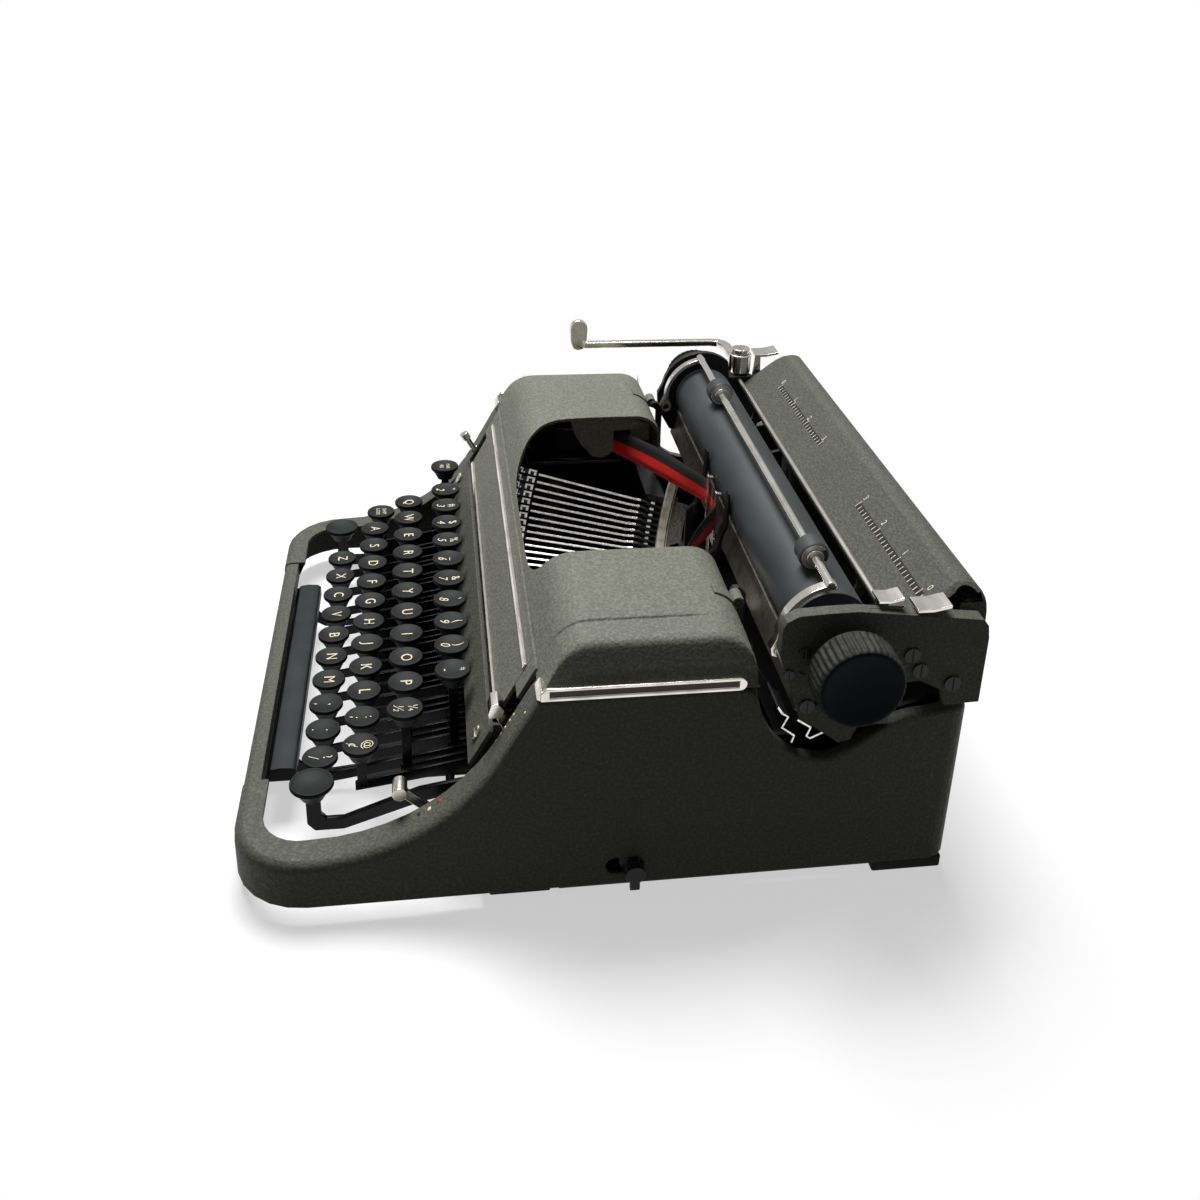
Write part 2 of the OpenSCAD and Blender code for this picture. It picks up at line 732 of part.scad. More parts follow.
// ribbon carrier in front of the platen
module vibrator() {
  color([0.72, 0.72, 0.72]) {
    block([-3, 68.4, 50], [3, 69.4, 86]);
    block([-11, 68.4, 84], [11, 69.4, 88]);
    for (s = [-1, 1]) {
      block([s > 0 ? 8 : -10.5, 68.4, 86], [s > 0 ? 10.5 : -8, 69.4, 112]);
      block([s > 0 ? 8 : -10.5, 68.4, 110], [s > 0 ? 10.5 : -8, 71.4, 111.4]);
    }
  }
}

module spacebar() {
  y = 9.4 - front_reach;
  color([0.12, 0.13, 0.14]) {
    x_plate(-3.83 * key_pitch, 4.3 * key_pitch, [[y, 17], [y, 21.5], [y + 1, 23.4], [y + 5, 24],
      [y + 10, 23.6], [y + 11.6, 22.4], [y + 11.6, 17]]);
    for (x = [-3 * key_pitch, 3.5 * key_pitch])
      difference() {
        x_plate(x - 0.8, x + 0.8, [[y + 2, 18], [y + 10, 18], [y + 16, 11.4], [y + 25, 10.6],
          [-66, 15.6], [-62, 18], [-58, 18], [-56, 14], [-58, 10], [-62, 10], [y + 25, 7], [y + 14, 7.4],
          [y + 2, 15]]);
        x_rod(x - 2, x + 2, space_pivot, 2 + running);
      }
  }
}

module shift_arm(x) {
  translate([x, -116, 36])
    rotate_extrude()
      polygon([[0, -1.4], [shift_radius - 3, -0.8], [shift_radius - 0.7, 0], [shift_radius, -0.6],
        [shift_radius, -2.2],
        [shift_radius - 1, -2.6], [shift_radius - 4.5, -8], [0, -8]]);
  difference() {
    x_plate(x - 1.25, x + 1.25, [[-119, 29], [-113, 29], [-113, 20], [-111, 17.4], [-104, 17.4],
      [-73, 29.4], [-52, 33],
      [-40, 34], [fulcrum_y - 4, fulcrum_z + 4], [fulcrum_y + 3, fulcrum_z + 3.6],
        [fulcrum_y + 5, fulcrum_z],
      [fulcrum_y + 3, fulcrum_z - 3.6], [fulcrum_y - 4, fulcrum_z - 3], [-40, 27], [-54, 26.6],
        [-72, 22.6],
      [-104, 11.4], [-116, 11.4], [-119, 15]]);
    x_rod(x - 3, x + 3, [fulcrum_y, fulcrum_z], fulcrum_r + running);
  }
}

// both shift keys with the rod that joins them
module shift_keys() {
  color([0.09, 0.1, 0.11]) {
    shift_arm(shift_right_x);
    shift_arm(shift_left_x);
    x_rod(shift_left_x, shift_right_x, [40, 9], 1.6);
    for (x = [shift_right_x, shift_left_x])
      x_plate(x - 1.25, x + 1.25, [[37, 27], [43, 27], [42.5, 8], [37.5, 8]]);
  }
}

// bent levers on the rims: two beside the name panel, one on the right rim
module rim_lever(side) {
  x0 = side > 0 ? frame_out + 0.4 : -frame_out - 2;
  difference() {
    x_plate(x0, x0 + 1.6, [[-23, 43], [-21.5, 46], [-23.6, 49], [-39, 79], [-42.6, 78], [-28, 46],
      [-26.5, 43]]);
    x_rod(x0 - 1, x0 + 3, touch_pivot, 1.5 + running);
  }
}

module touch_lever() {
  color([0.8, 0.8, 0.8]) {
    rim_lever(1);
    x_plate(frame_out - 5.4, frame_out + 3.6, [[-44.4, 77], [-45, 79], [-43.6, 83.4], [-41, 84],
      [-38.6, 80.4],
      [-39.6, 77.4]]);
  }
}

module left_lever() {
  color([0.8, 0.8, 0.8]) {
    rim_lever(-1);
    translate([0.6 - frame_out, -41, 78])
      rotate([30, 0, 0]) {
        cylinder(h = 9, r = 1.6);
        translate([0, 0, 7])
          cylinder(h = 4, r = 2.4);
      }
  }
}

module ribbon_selector() {
  color([0.8, 0.8, 0.78]) {
    difference() {
      x_plate(frame_out + 0.4, frame_out + 2, [[-61, 20], [-58, 18.4], [-55, 20], [-54.6, 24],
        [-57, 26.4], [-77.6, 45],
        [-81.4, 43], [-62, 25]]);
      x_rod(frame_out - 1, frame_out + 5, selector_pivot, 1.5 + running);
    }
    x_rod(frame_out - 3.6, frame_out + 5, [-80, 44.6], 3);
    x_rod(frame_out - 4.4, frame_out - 3, [-80, 44.6], 2.2);
  }
}

// stud that locks the carriage, worked through the slot in the right wall
module lock_stud() {
  color([0.05, 0.05, 0.055]) {
    x_rod(frame_out + 0.4, half_width + 4, [11.6, 15], 2.4);
    x_rod(half_width + 2, half_width + 6.4, [11.6, 15], 4);
    x_rod(half_width - 6, half_width - sheet - 0.5, [11.6, 15], 5.6);
    translate([half_width + 3.4, 9.6, 7])
      cube([2.4, 4, 8]);
  }
}

module one_spool() {
  color([0.2, 0.2, 0.21])
    difference() {
      union() {
        translate([0, 0, 91])
          cylinder(h = 1.2, r = 22);
        translate([0, 0, 108.4])
          cylinder(h = 1.2, r = 22);
        translate([0, 0, 91])
          cylinder(h = 18, r = 6);
      }
      translate([0, 0, 90])
        cylinder(h = 21, r = 2 + running);
      for (a = [0:90:270])
        rotate([0, 0, a])
          translate([16, 0, 107])
            cylinder(h = 4, r = 3.4);
    }
  // wound band on the hub
  color([0.04, 0.04, 0.045])
    translate([0, 0, 93])
      difference() {
        cylinder(h = 14.6, r = 13);
        translate([0, 0, -1])
          cylinder(h = 17, r = 6);
      }
}

module spool_left() {
  translate([-spool_x, spool_y, 0])
    one_spool();
}

module spool_right() {
  translate([spool_x, spool_y, 0])
    one_spool();
}

// rail that lifts with the shift and carries the carriage
rail_y = 101;
rail_top = 81;
module lift_rail() {
  color([0.5, 0.5, 0.5])
    difference() {
      union() {
        block([-118, rail_y - 5.6, 58], [118, rail_y + 5, 73.6]);
        block([-118, rail_y - 2, 73], [118, rail_y + 2, rail_top]);
      }
      for (x = [-95, 95])
        translate([x, 100, 57])
          cylinder(h = 21, r = 3 + running);
    }
}

module carriage_bed() {
  color([0.1, 0.1, 0.105])
    difference() {
      block([left_plate_in, 92, 77], [right_plate_in, 110, 86]);
      block([left_plate_in - 1, rail_y - 2 - sliding, 76],
        [right_plate_in + 1, rail_y + 2 + sliding, rail_top + sliding]);
    }
}

right_outline = [[64.2, 109.5], [62.9, 113], [62.9, 124.4], [64.2, 127.6], [68.8, 130.2],
  [80.2, 130.8], [91.7, 131],
  [141.6, 124.6], [144, 121.6], [144.9, 116], [145, 87], [130.4, 86.6], [128.2, 93.8], [119.4, 98.5],
  [112, 98], [106, 92], [100, 84], [96.5, 78.3], [94.2, 72.8], [89.5, 71.7], [79.5, 79.6], [73.1, 83.8]];

// painted right end plate with its rolled top edge
module end_plate_right() {
  color([0.34, 0.33, 0.31])
    difference() {
      union() {
        x_plate(right_plate_in, end_plate_x, right_outline);
        // rolled edge, wide in front and narrow beside the paper table
        x_plate(end_plate_x - 14.4, end_plate_x, [[62.9, 113], [62.9, 124.4], [64.2, 127.6],
          [68.8, 130.2], [80.2, 130.8], [91.7, 131], [111, 128.5], [111, 126.3], [91.5, 128.8],
          [80.4, 128.6], [69.4, 128], [66, 126.4], [64.9, 123.6], [64.9, 113]]);
        x_plate(table_right + 1, end_plate_x, [[110, 128.7], [141.6, 124.6], [144, 121.6], [144.9, 116],
          [142.9, 116], [142, 121], [141, 122.4], [110, 126.4]]);
      }
      x_rod(platen_right, end_plate_x + 5, [platen_y, platen_z], shaft_r + running);
      x_rod(platen_right, end_plate_x + 5, feed_front, feed_axle + running);
      x_rod(platen_right, end_plate_x + 5, feed_rear, feed_axle + running);
      x_rod(end_plate_x - 0.6, end_plate_x + 5, [72.4, 106.2], 1.4);
    }
  // pivot pins of bail and release levers, inside the plate
  color([0.6, 0.6, 0.6]) {
    x_rod(platen_right + 0.2, right_plate_in, bail_pivot, 1.5);
    x_rod(stem_x - 0.4, right_plate_in, release_pivot, 1.5);
    x_rod(stem_x - 0.4, right_plate_in, paper_release_pivot, 1.5);
  }
}

// black left end plate with the bracket of the return lever
module end_plate_left() {
  color([0.05, 0.05, 0.055]) {
    difference() {
      union() {
        x_plate(left_plate_x, left_plate_in, concat([[80, 84], [71, 88], [64, 100], [63.4, 110]],
          arc(platen_y, platen_z, 22.6, 170, 48, 10), [[104.4, 118.8], [119.2, 118.8], [122, 120],
            [136, 118],
          [138, 104], [136, 94], [118, 88], [112, 77], [92, 77]]));
        block([-138, 107.6, 106], [left_plate_in, 117.6, 119]);
      }
      x_rod(left_plate_x - 4, left_plate_in + 2, [platen_y, platen_z], shaft_r + running);
      block([left_plate_x - 4, rail_y - 3.4, 70], [left_plate_in + 2, rail_y + 3.4, rail_top + 1.4]);
      x_rod(left_plate_x - 4, left_plate_in + 2, feed_front, feed_axle + running);
      x_rod(left_plate_x - 4, left_plate_in + 2, feed_rear, feed_axle + running);
    }
    x_rod(left_plate_in, platen_left + 3, bail_pivot, 1.5);
    x_rod(left_plate_x - 5, left_plate_x, release_pivot, 1.5);
  }
  // pivot post and slotted head of the return lever
  color([0.7, 0.7, 0.68])
    translate([lever_pivot[0], lever_pivot[1], 119]) {
      cylinder(h = 12, r = 3);
      translate([0, 0, 11.6])
        slot_screw(5.2, 3);
    }
}

module platen() {
  color([0.1, 0.11, 0.12])
    difference() {
      x_rod(platen_left, platen_right, [platen_y, platen_z], platen_radius);
      x_rod(platen_left - 1, platen_right + 1, [platen_y, platen_z], shaft_r);
    }
}

module platen_shaft() {
  color([0.7, 0.7, 0.7])
    x_rod(left_knob_x - left_knob_depth + 4, side_reach - 4, [platen_y, platen_z], shaft_r);
}

module knob(r, depth, ribs) {
  difference() {
    rotate_extrude($fn = 64)
      polygon([[0, 0], [6, 0], [r * 0.7, 2], [r - 1, 5], [r, 6.4], [r, depth - 2], [r - 1.4, depth],
        [r * 0.5, depth - 1.6],
        [0, depth - 2.4]]);
    for (i = [0:ribs - 1])
      rotate([0, 0, i * 360 / ribs])
        translate([r + 0.5, 0, 6.8])
          cylinder(h = depth, r = 0.9, $fn = 16);
    translate([0, 0, -1])
      cylinder(h = depth - 4 + 1, r = shaft_r);
  }
}

module knob_right() {
  color([0.06, 0.07, 0.08])
    translate([end_plate_x + knob_gap, platen_y, platen_z])
      rotate([0, 90, 0])
        knob(knob_radius, knob_depth, 40);
}

module knob_left() {
  color([0.06, 0.07, 0.08])
    translate([left_knob_x, platen_y, platen_z])
      rotate([0, -90, 0])
        knob(left_knob_radius, left_knob_depth, 36);
}

module ratchet_wheel() {
  color([0.65, 0.65, 0.65])
    translate([left_plate_in + 1.5, platen_y, platen_z])
      rotate([0, 90, 0])
        difference() {
          linear_extrude(height = 3)
            polygon([for (i = [0:31], k = [0, 1])
              let (a = (i + k * 0.75) * 360 / 32, r = k == 0 ? 11.6 : 13.4) [r * cos(a), r * sin(a)]]);
          translate([0, 0, -1])
            cylinder(h = 5, r = shaft_r);
        }
}

// inclined painted table with a rear skirt and closed ends
module paper_table() {
  outer = concat([[112.4, 114.6]], arc(138.4, 125.4, 8, 121, 0, 7), [[146.4, 94]]);
  inner = concat([[144.4, 94]], arc(138.4, 125.4, 6, 0, 121, 7), [[113.6, 113]]);
  front_view = concat(
    arc(table_right - 14, 134 - 14, 14, 0, 90, 6), arc(left_plate_in + 8, 134 - 8, 8, 90, 180, 4),
    [[left_plate_in, 80], [table_right, 80]]);
  color([0.36, 0.35, 0.32]) {
    difference() {
      intersection() {
        union() {
          x_plate(left_plate_in, table_right, concat(outer, inner));
          x_plate(table_right - 2, table_right, concat(arc(138.4, 125.4, 8, 110, 0, 6), [[146.4, 94],
            [136, 94]]));
        }
        translate([0, 160, 0])
          rotate([90, 0, 0])
            linear_extrude(height = 80)
              polygon(front_view);
      }
      // notch for the release lever
      block([stem_x - 1.4, 117.4, 100], [table_right + 1, 132.8, 140]);
    }
    // ribs down to the carriage bed
    for (x = [-92, 92])
      x_plate(x - 1, x + 1, [[106, 86], [110, 86], [118, 116.4], [115, 114.9], [112.8, 113.4]]);
    x_rod(left_plate_in, right_plate_in, margin_rail, 2);
  }
}

module paper_rod() {
  color([0.82, 0.82, 0.82])
    x_rod(left_plate_in, right_plate_in, [paper_rod_y, paper_rod_z], 1.6);
}

// curved arms and rod that hold the sheet against the platen
module bail() {
  left = platen_left - 2;
  right = platen_right + 0.6;
  color([0.8, 0.8, 0.8]) {
    for (x = [left, right])
      difference() {
        x_plate(x, x + bail_band, concat(arc(platen_y, platen_z, 20.6, 180, 92, 12),
          arc(platen_y, platen_z, 22.6, 92, 180, 12),
          [[63.4, 107], [64, 103.6], [66.5, 102.6], [69, 103.6], [69.6, 107]]));
        x_rod(x - 1, x + bail_band + 1, bail_pivot, 1.5 + running);
      }
    x_rod(left, right + bail_band, [bail_y, bail_z], bail_r);
  }
}

module bail_rollers() {
  color([0.06, 0.06, 0.065])
    for (x = [-64, 108])
      translate([x - 6, bail_y, bail_z])
        rotate([0, 90, 0])
          rotate_extrude()
            polygon([[bail_r + running, 0], [3.4, 0], [3.8, 1], [5.4, 1], [bail_roller_r, 2.4],
              [bail_roller_r, 9.6],
              [5.4, 11], [3.8, 11], [3.4, 12], [bail_r + running, 12]]);
}

// bent lever that spaces the line and returns the carriage
module return_lever() {
  px = lever_pivot[0];
  py = lever_pivot[1];
  end = -side_reach;
  color([0.82, 0.82, 0.82]) {
    difference() {
      union() {
        translate([px, py, 119.4])
          cylinder(h = 11, r = 6.4);
        translate([0, 0, 121.5])
          linear_extrude(height = 3.8)
            polygon([[px, py - 4], [px, py + 3.6], [end + 12, 113.4], [end + 6, 111.8], [end + 2.6, 108],
              [end + 1.6, 102], [end + 1.6, 26], [end + 6, 26], [end + 6, 102], [end + 7.4, 106],
              [end + 12, 108]]);
      }
      translate([px, py, 119])
        cylinder(h = 12, r = 3 + running);
    }
    x_plate(end, end + 3.8, concat(arc(23.2, 133, 5.3, 0, 180, 8), [[18.4, 125], [20.2, cover_top + 2.4],
      [23.2, cover_top + 1.5],
      [26.2, cover_top + 2.4], [28, 125]]));
  }
}

// slanted scale apron in front of the platen
module front_scale() {
  color([0.45, 0.44, 0.42])
    x_plate(left_plate_in, right_plate_in, [[71.6, 86], [75.4, 99], [76.4, 98.6], [72.6, 85.6]]);
}

// toothed bar under the scale
module carriage_rack() {
  teeth = 96;
  pitch = 2.54;
  start = -120;
  color([0.5, 0.5, 0.5])
    translate([0, 78, 0])
      rotate([90, 0, 0])
        linear_extrude(height = 3)
          polygon(concat([[left_plate_in, 85], [left_plate_in, 81]],
            [for (i = [0:teeth - 1], k = [0, 1]) [start + (i + 0.5 * k) * pitch, k == 0 ? 81 : 79.4]],
            [[start + teeth * pitch, 81], [right_plate_in, 81], [right_plate_in, 85]]));
}

module paper_release() {
  color([0.82, 0.82, 0.82]) {
    difference() {
      x_plate(stem_x, stem_x + 1.8, [[101, 118], [104, 116.4], [107, 118], [107.4, 122], [106.4, 132.8],
        [102, 132.8], [100.6, 122]]);
      x_rod(stem_x - 1, stem_x + 3, paper_release_pivot, 1.5 + running);
    }
    x_plate(stem_x, end_plate_x - 3, [[100, 132], [105, 131.8], [110, 133], [110, 134.2], [105, 133],
      [100, 133.4]]);
  }
}

// release levers at both ends of the carriage
module carriage_release() {
  color([0.82, 0.82, 0.82])
    for (s = [-1, 1]) {
      x0 = s > 0 ? stem_x : left_plate_x - 2;
      back = s > 0 ? 0 : 5.4;
      difference() {
        x_plate(x0, x0 + 1.8, [[119, 108], [121, 107], [123.4, 108], [124, 112], [123, 130],
          [119.8, 130], [118.6, 112]]);
        x_rod(x0 - 1, x0 + 3, release_pivot, 1.5 + running);
      }
      x_plate(s > 0 ? stem_x : left_plate_x - 12, s > 0 ? end_plate_x : left_plate_x - 0.2,
        [[114.6 + back, 129], [121 + back, 129],
        [128 + back, 130.4],
        [128 + back, 131.8], [121 + back, 130.4], [114.6 + back, 130.4]]);
    }
}

module margin_stop(x) {
  color([0.7, 0.7, 0.7])
    difference() {
      x_plate(x - 5, x + 5, [[129, 95], [129, 106], [131, 108], [137, 108], [139, 106], [139, 95]]);
      x_rod(x - 6, x + 6, margin_rail, 2 + running);
    }
}

module margin_stop_left() {
  margin_stop(-70);
}

module margin_stop_right() {
  margin_stop(80);
}

module feed_roller(at) {
  color([0.08, 0.08, 0.08]) {
    for (x = [-100, -40, 20, 80])
      x_rod(x, x + 30, at, feed_r);
    x_rod(left_plate_x + 2, end_plate_x - 2, at, feed_axle);
  }
}

module feed_roller_front() {
  feed_roller(feed_front);
}

module feed_roller_rear() {
  feed_roller(feed_rear);
}

// slotted screws on the right end plate
module carriage_screws() {
  color([0.6, 0.6, 0.58])
    for (p = [[72.2, 114.3, 2.6], [66.6, 105, 2.2], [75, 90.2, 3], [114.6, 110.7, 3.2],
      [118.8, 103.6, 3.2], [132.6, 96.7, 3.4]])
      translate([end_plate_x + seat, p[0], p[1]])
        rotate([0, 90, 0])
          slot_screw(p[2], 0.9);
}

body_shell();
front_bar();
front_plate();
side_trims();
rubber_feet();
chassis();
key_comb();
fulcrum_rod();
segment();
typebars();
typebar_rest();
card_fingers();
ribbon_cups();
bell();
frame_screws();
ribbon();
mainspring_drum();
top_cover();
cover_strips();
spool_tongues();
number_keys();
upper_keys();
home_keys();
lower_keys();
type_key();
type_bar();
vibrator();
spacebar();
shift_keys();
shift_lock_key();
margin_key();
ribbon_selector();
touch_lever();
left_lever();
lock_stud();
spool_left();
spool_right();
lift_rail();
carriage_bed();
end_plate_right();
end_plate_left();
platen();
platen_shaft();
knob_right();
knob_left();
ratchet_wheel();
paper_table();
paper_rod();
bail();
bail_rollers();
return_lever();
front_scale();
carriage_rack();
paper_release();
carriage_release();
margin_stop_left();
margin_stop_right();
feed_roller_front();
feed_roller_rear();
carriage_screws();
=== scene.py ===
import json
from math import cos, hypot, pi, radians, sin
import bmesh
import bpy
from mathutils import Matrix, Vector
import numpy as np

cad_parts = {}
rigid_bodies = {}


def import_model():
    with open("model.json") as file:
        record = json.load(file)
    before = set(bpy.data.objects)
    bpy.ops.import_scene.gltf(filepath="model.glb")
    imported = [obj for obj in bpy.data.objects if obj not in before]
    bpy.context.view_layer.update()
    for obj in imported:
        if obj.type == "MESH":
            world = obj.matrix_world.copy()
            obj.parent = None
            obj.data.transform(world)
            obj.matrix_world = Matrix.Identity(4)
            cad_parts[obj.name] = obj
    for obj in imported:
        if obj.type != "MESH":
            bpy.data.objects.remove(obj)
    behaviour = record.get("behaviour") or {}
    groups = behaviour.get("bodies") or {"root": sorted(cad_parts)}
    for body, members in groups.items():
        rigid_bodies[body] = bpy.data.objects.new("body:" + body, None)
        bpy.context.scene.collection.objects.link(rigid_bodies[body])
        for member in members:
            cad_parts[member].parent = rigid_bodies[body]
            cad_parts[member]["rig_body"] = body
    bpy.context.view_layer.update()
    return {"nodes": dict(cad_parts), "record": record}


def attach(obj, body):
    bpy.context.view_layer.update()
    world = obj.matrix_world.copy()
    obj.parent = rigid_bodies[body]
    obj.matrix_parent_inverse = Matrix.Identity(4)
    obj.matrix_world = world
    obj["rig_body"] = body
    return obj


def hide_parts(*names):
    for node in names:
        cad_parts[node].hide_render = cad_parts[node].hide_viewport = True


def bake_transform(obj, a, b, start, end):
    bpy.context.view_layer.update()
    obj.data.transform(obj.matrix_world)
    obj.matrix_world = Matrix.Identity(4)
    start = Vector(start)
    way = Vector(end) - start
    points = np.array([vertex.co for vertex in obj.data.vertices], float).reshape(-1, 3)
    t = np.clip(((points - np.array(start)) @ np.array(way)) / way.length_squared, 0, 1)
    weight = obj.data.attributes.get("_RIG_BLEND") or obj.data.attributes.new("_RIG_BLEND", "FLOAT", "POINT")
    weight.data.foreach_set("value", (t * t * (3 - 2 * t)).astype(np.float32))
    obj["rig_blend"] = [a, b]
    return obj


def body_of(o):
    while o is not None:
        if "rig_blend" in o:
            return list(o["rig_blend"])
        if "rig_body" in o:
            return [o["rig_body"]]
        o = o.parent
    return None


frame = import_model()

scene = bpy.context.scene
scene.view_settings.view_transform = "Standard"
MM = 0.001


# Studio: a white table top that fades into a white surround, one broad lamp high on the typist's
# left, two weaker ones, and the camera beside the right wall looking down on the keys.
floor_mesh = bpy.data.meshes.new("table_top")
floor_mesh.from_pydata([(-4, -4, 0), (4, -4, 0), (4, 4, 0), (-4, 4, 0)], [], [(0, 1, 2, 3)])
floor = bpy.data.objects.new("table_top", floor_mesh)
scene.collection.objects.link(floor)


def tint(red, green, blue):
    """A colour as seen on a screen, turned into the shader's linear light."""
    steps = [part / 255 for part in (red, green, blue)]
    return tuple(s / 12.92 if s < 0.04045 else ((s + 0.055) / 1.055) ** 2.4 for s in steps) + (1.0,)


class Tone:
    """One value of a finish. Arithmetic on it adds the shader's own maths nodes."""

    def __init__(self, tree, socket):
        self.tree = tree
        self.socket = socket

    def node(self, kind, out=0, settings=None, sockets=None):
        made = self.tree.nodes.new(kind)
        for key, value in (settings or {}).items():
            setattr(made, key, value)
        for key, value in (sockets or {}).items():
            if isinstance(value, Tone):
                self.tree.links.new(value.socket, made.inputs[key])
            else:
                made.inputs[key].default_value = value
        return Tone(self.tree, made.outputs[out])

    def maths(self, operation, first, second):
        return self.node("ShaderNodeMath", settings={"operation": operation}, sockets={0: first, 1: second})

    def __add__(self, other):
        return self.maths("ADD", self, other)

    __radd__ = __add__

    def __rsub__(self, other):
        return self.maths("SUBTRACT", other, self)

    def __mul__(self, other):
        return self.maths("MULTIPLY", self, other)

    def between(self, low, high):
        """0 up to low, 1 from high on, eased in between."""
        return self.node("ShaderNodeMapRange", settings={"interpolation_type": "SMOOTHSTEP"},
                         sockets={"Value": self, "From Min": low, "From Max": high})

    def blend(self, first, second):
        """The first colour at 0, the second at 1."""
        return self.node("ShaderNodeMix", out=2, settings={"data_type": "RGBA"},
                         sockets={0: self, 6: first, 7: second})

    def speckle(self, scale, detail=2.0, stretch=None):
        """Even noise about 1 / scale metres wide, on the place that this tone holds."""
        place = self
        if stretch:
            place = self.node("ShaderNodeVectorMath", settings={"operation": "MULTIPLY"},
                              sockets={0: self, 1: stretch})
        return self.node("ShaderNodeTexNoise", sockets={"Vector": place, "Scale": scale, "Detail": detail})

    def raised(self, surface, strength, depth):
        """This height stands up from the surface."""
        bump = self.node("ShaderNodeBump", sockets={"Height": self, "Strength": strength, "Distance": depth})
        self.tree.links.new(bump.socket, surface.inputs["Normal"])

    def feed(self, surface, name):
        self.tree.links.new(self.socket, surface.inputs[name])


def new_finish(name, **constants):
    """A bare finish: the material, its surface shader and the place on the piece."""
    finish = bpy.data.materials.new(name)
    finish.use_nodes = True
    tree = finish.node_tree
    surface = tree.nodes["Principled BSDF"]
    for key, value in constants.items():
        surface.inputs[key.replace("_", " ")].default_value = value
    spot = tree.nodes.new("ShaderNodeTexCoord")
    return finish, surface, Tone(tree, spot.outputs["Object"])


white_top, top_surface, top_place = new_finish("white_table", Roughness=0.9, Specular_IOR_Level=0.0)
far = top_place.node("ShaderNodeVectorMath", out="Value", settings={"operation": "LENGTH"},
                     sockets={0: top_place})
cloudy = top_place.speckle(3.0)
looking = far.node("ShaderNodeLightPath", out="Is Camera Ray")
mirrored = far.node("ShaderNodeLightPath", out="Is Glossy Ray")
through = far.node("ShaderNodeLightPath", out="Is Transmission Ray")
seen = far.maths("MINIMUM", looking + mirrored + through, 1.0)
(seen * (0.94 + cloudy * 0.05)).blend(tint(70, 70, 70), tint(252, 252, 252)).feed(top_surface, "Base Color")
glow = far.node("ShaderNodeEmission", sockets={"Color": (1, 1, 1, 1), "Strength": 1.0})
fade = (0.56 + far.between(0.2, 0.32) * 0.44) * seen
top_mix = far.node("ShaderNodeMixShader", sockets={
    0: fade, 1: Tone(white_top.node_tree, top_surface.outputs[0]), 2: glow})
white_top.node_tree.links.new(top_mix.socket, white_top.node_tree.nodes["Material Output"].inputs["Surface"])
floor_mesh.materials.append(white_top)

surround = bpy.data.worlds.new("white_surround")
surround.use_nodes = True
scene.world = surround
backdrop = surround.node_tree.nodes["Background"]
sky = Tone(surround.node_tree, backdrop.outputs[0])
sky_seen = sky.maths("MINIMUM", sky.node("ShaderNodeLightPath", out="Is Camera Ray")
                     + sky.node("ShaderNodeLightPath", out="Is Transmission Ray"), 1.0)
sky_mirrored = sky.node("ShaderNodeLightPath", out="Is Glossy Ray")
sky_level = sky.maths("MINIMUM", 0.035 + sky_seen + sky_mirrored * 0.44, 1.0)
surround.node_tree.links.new(sky_level.socket, backdrop.inputs["Strength"])
backdrop.inputs["Color"].default_value = (1, 1, 1, 1)

lamp_aim, lamp_size = Vector((0, 0, 0.05)), 0.8
for lamp_name, spot, power in [
        ("over_left_side", (-0.62, -0.14, 1.5), 43.0),
        ("typist_side", (0.1, -1.3, 0.7), 0.5),
        ("camera_side", (1.3, 0.1, 0.6), 0.1)]:
    lamp_data = bpy.data.lights.new(lamp_name, "AREA")
    lamp_data.energy = power
    lamp_data.size = lamp_size
    lamp = bpy.data.objects.new(lamp_name, lamp_data)
    lamp.location = spot
    lamp.rotation_euler = (lamp_aim - Vector(spot)).to_track_quat("-Z", "Y").to_euler()
    scene.collection.objects.link(lamp)

camera_spot = (0.53509, -0.0617, 0.37667)
turn, rise, lean = radians(80.7), radians(23.8), radians(2.12)
back = Vector((sin(turn) * cos(rise), -cos(turn) * cos(rise), sin(rise)))
level = Vector((0, 0, 1)).cross(back).normalized()
upright = back.cross(level)
side_axis = cos(lean) * level + sin(lean) * upright
top_axis = -sin(lean) * level + cos(lean) * upright
camera_data = bpy.data.cameras.new("camera")
camera_data.sensor_width = 36.0
camera_data.lens = 37.993
camera_data.shift_x = -0.02145
camera_data.shift_y = -0.1354
camera_data.clip_start = 0.01
camera = bpy.data.objects.new("camera", camera_data)
camera_turn = Matrix((side_axis, top_axis, back)).transposed().to_4x4()
camera.matrix_world = Matrix.Translation(camera_spot) @ camera_turn
scene.collection.objects.link(camera)
scene.camera = camera


# Painted shell: pressed steel sheet, both sides, front corners and rear wall in one, sprayed with a
# grey-brown paint that wrinkles as it bakes. The front bar and the plate behind the keys match it. Its copy of
# the paint is the cover's, made darker as painted shade.
def wrinkled(name, gloss, height, dark, pale):
    """A baked wrinkle paint: folds with a finer grain on them, whose shade drifts a little."""
    finish, surface, place = new_finish(name, Specular_IOR_Level=gloss)
    folds = place.speckle(760.0, 3.0)
    drift = place.speckle(24.0, 3.0)
    (folds.between(0.34, 0.66) * 0.8 + place.speckle(2300.0) * 0.35).raised(surface, height, 0.0005)
    (folds.between(0.36, 0.68) * 0.75 + drift * 0.35).blend(dark, pale).feed(surface, "Base Color")
    (0.62 - folds.between(0.5, 0.75) * 0.16).feed(surface, "Roughness")
    return finish


# the cover's wrinkle paint made darker, as painted shade on the shell, the right end plate and the paper table
shell_paint = wrinkled("shell_paint", 0.2, 0.34, tint(66, 67, 60), tint(89, 90, 81))


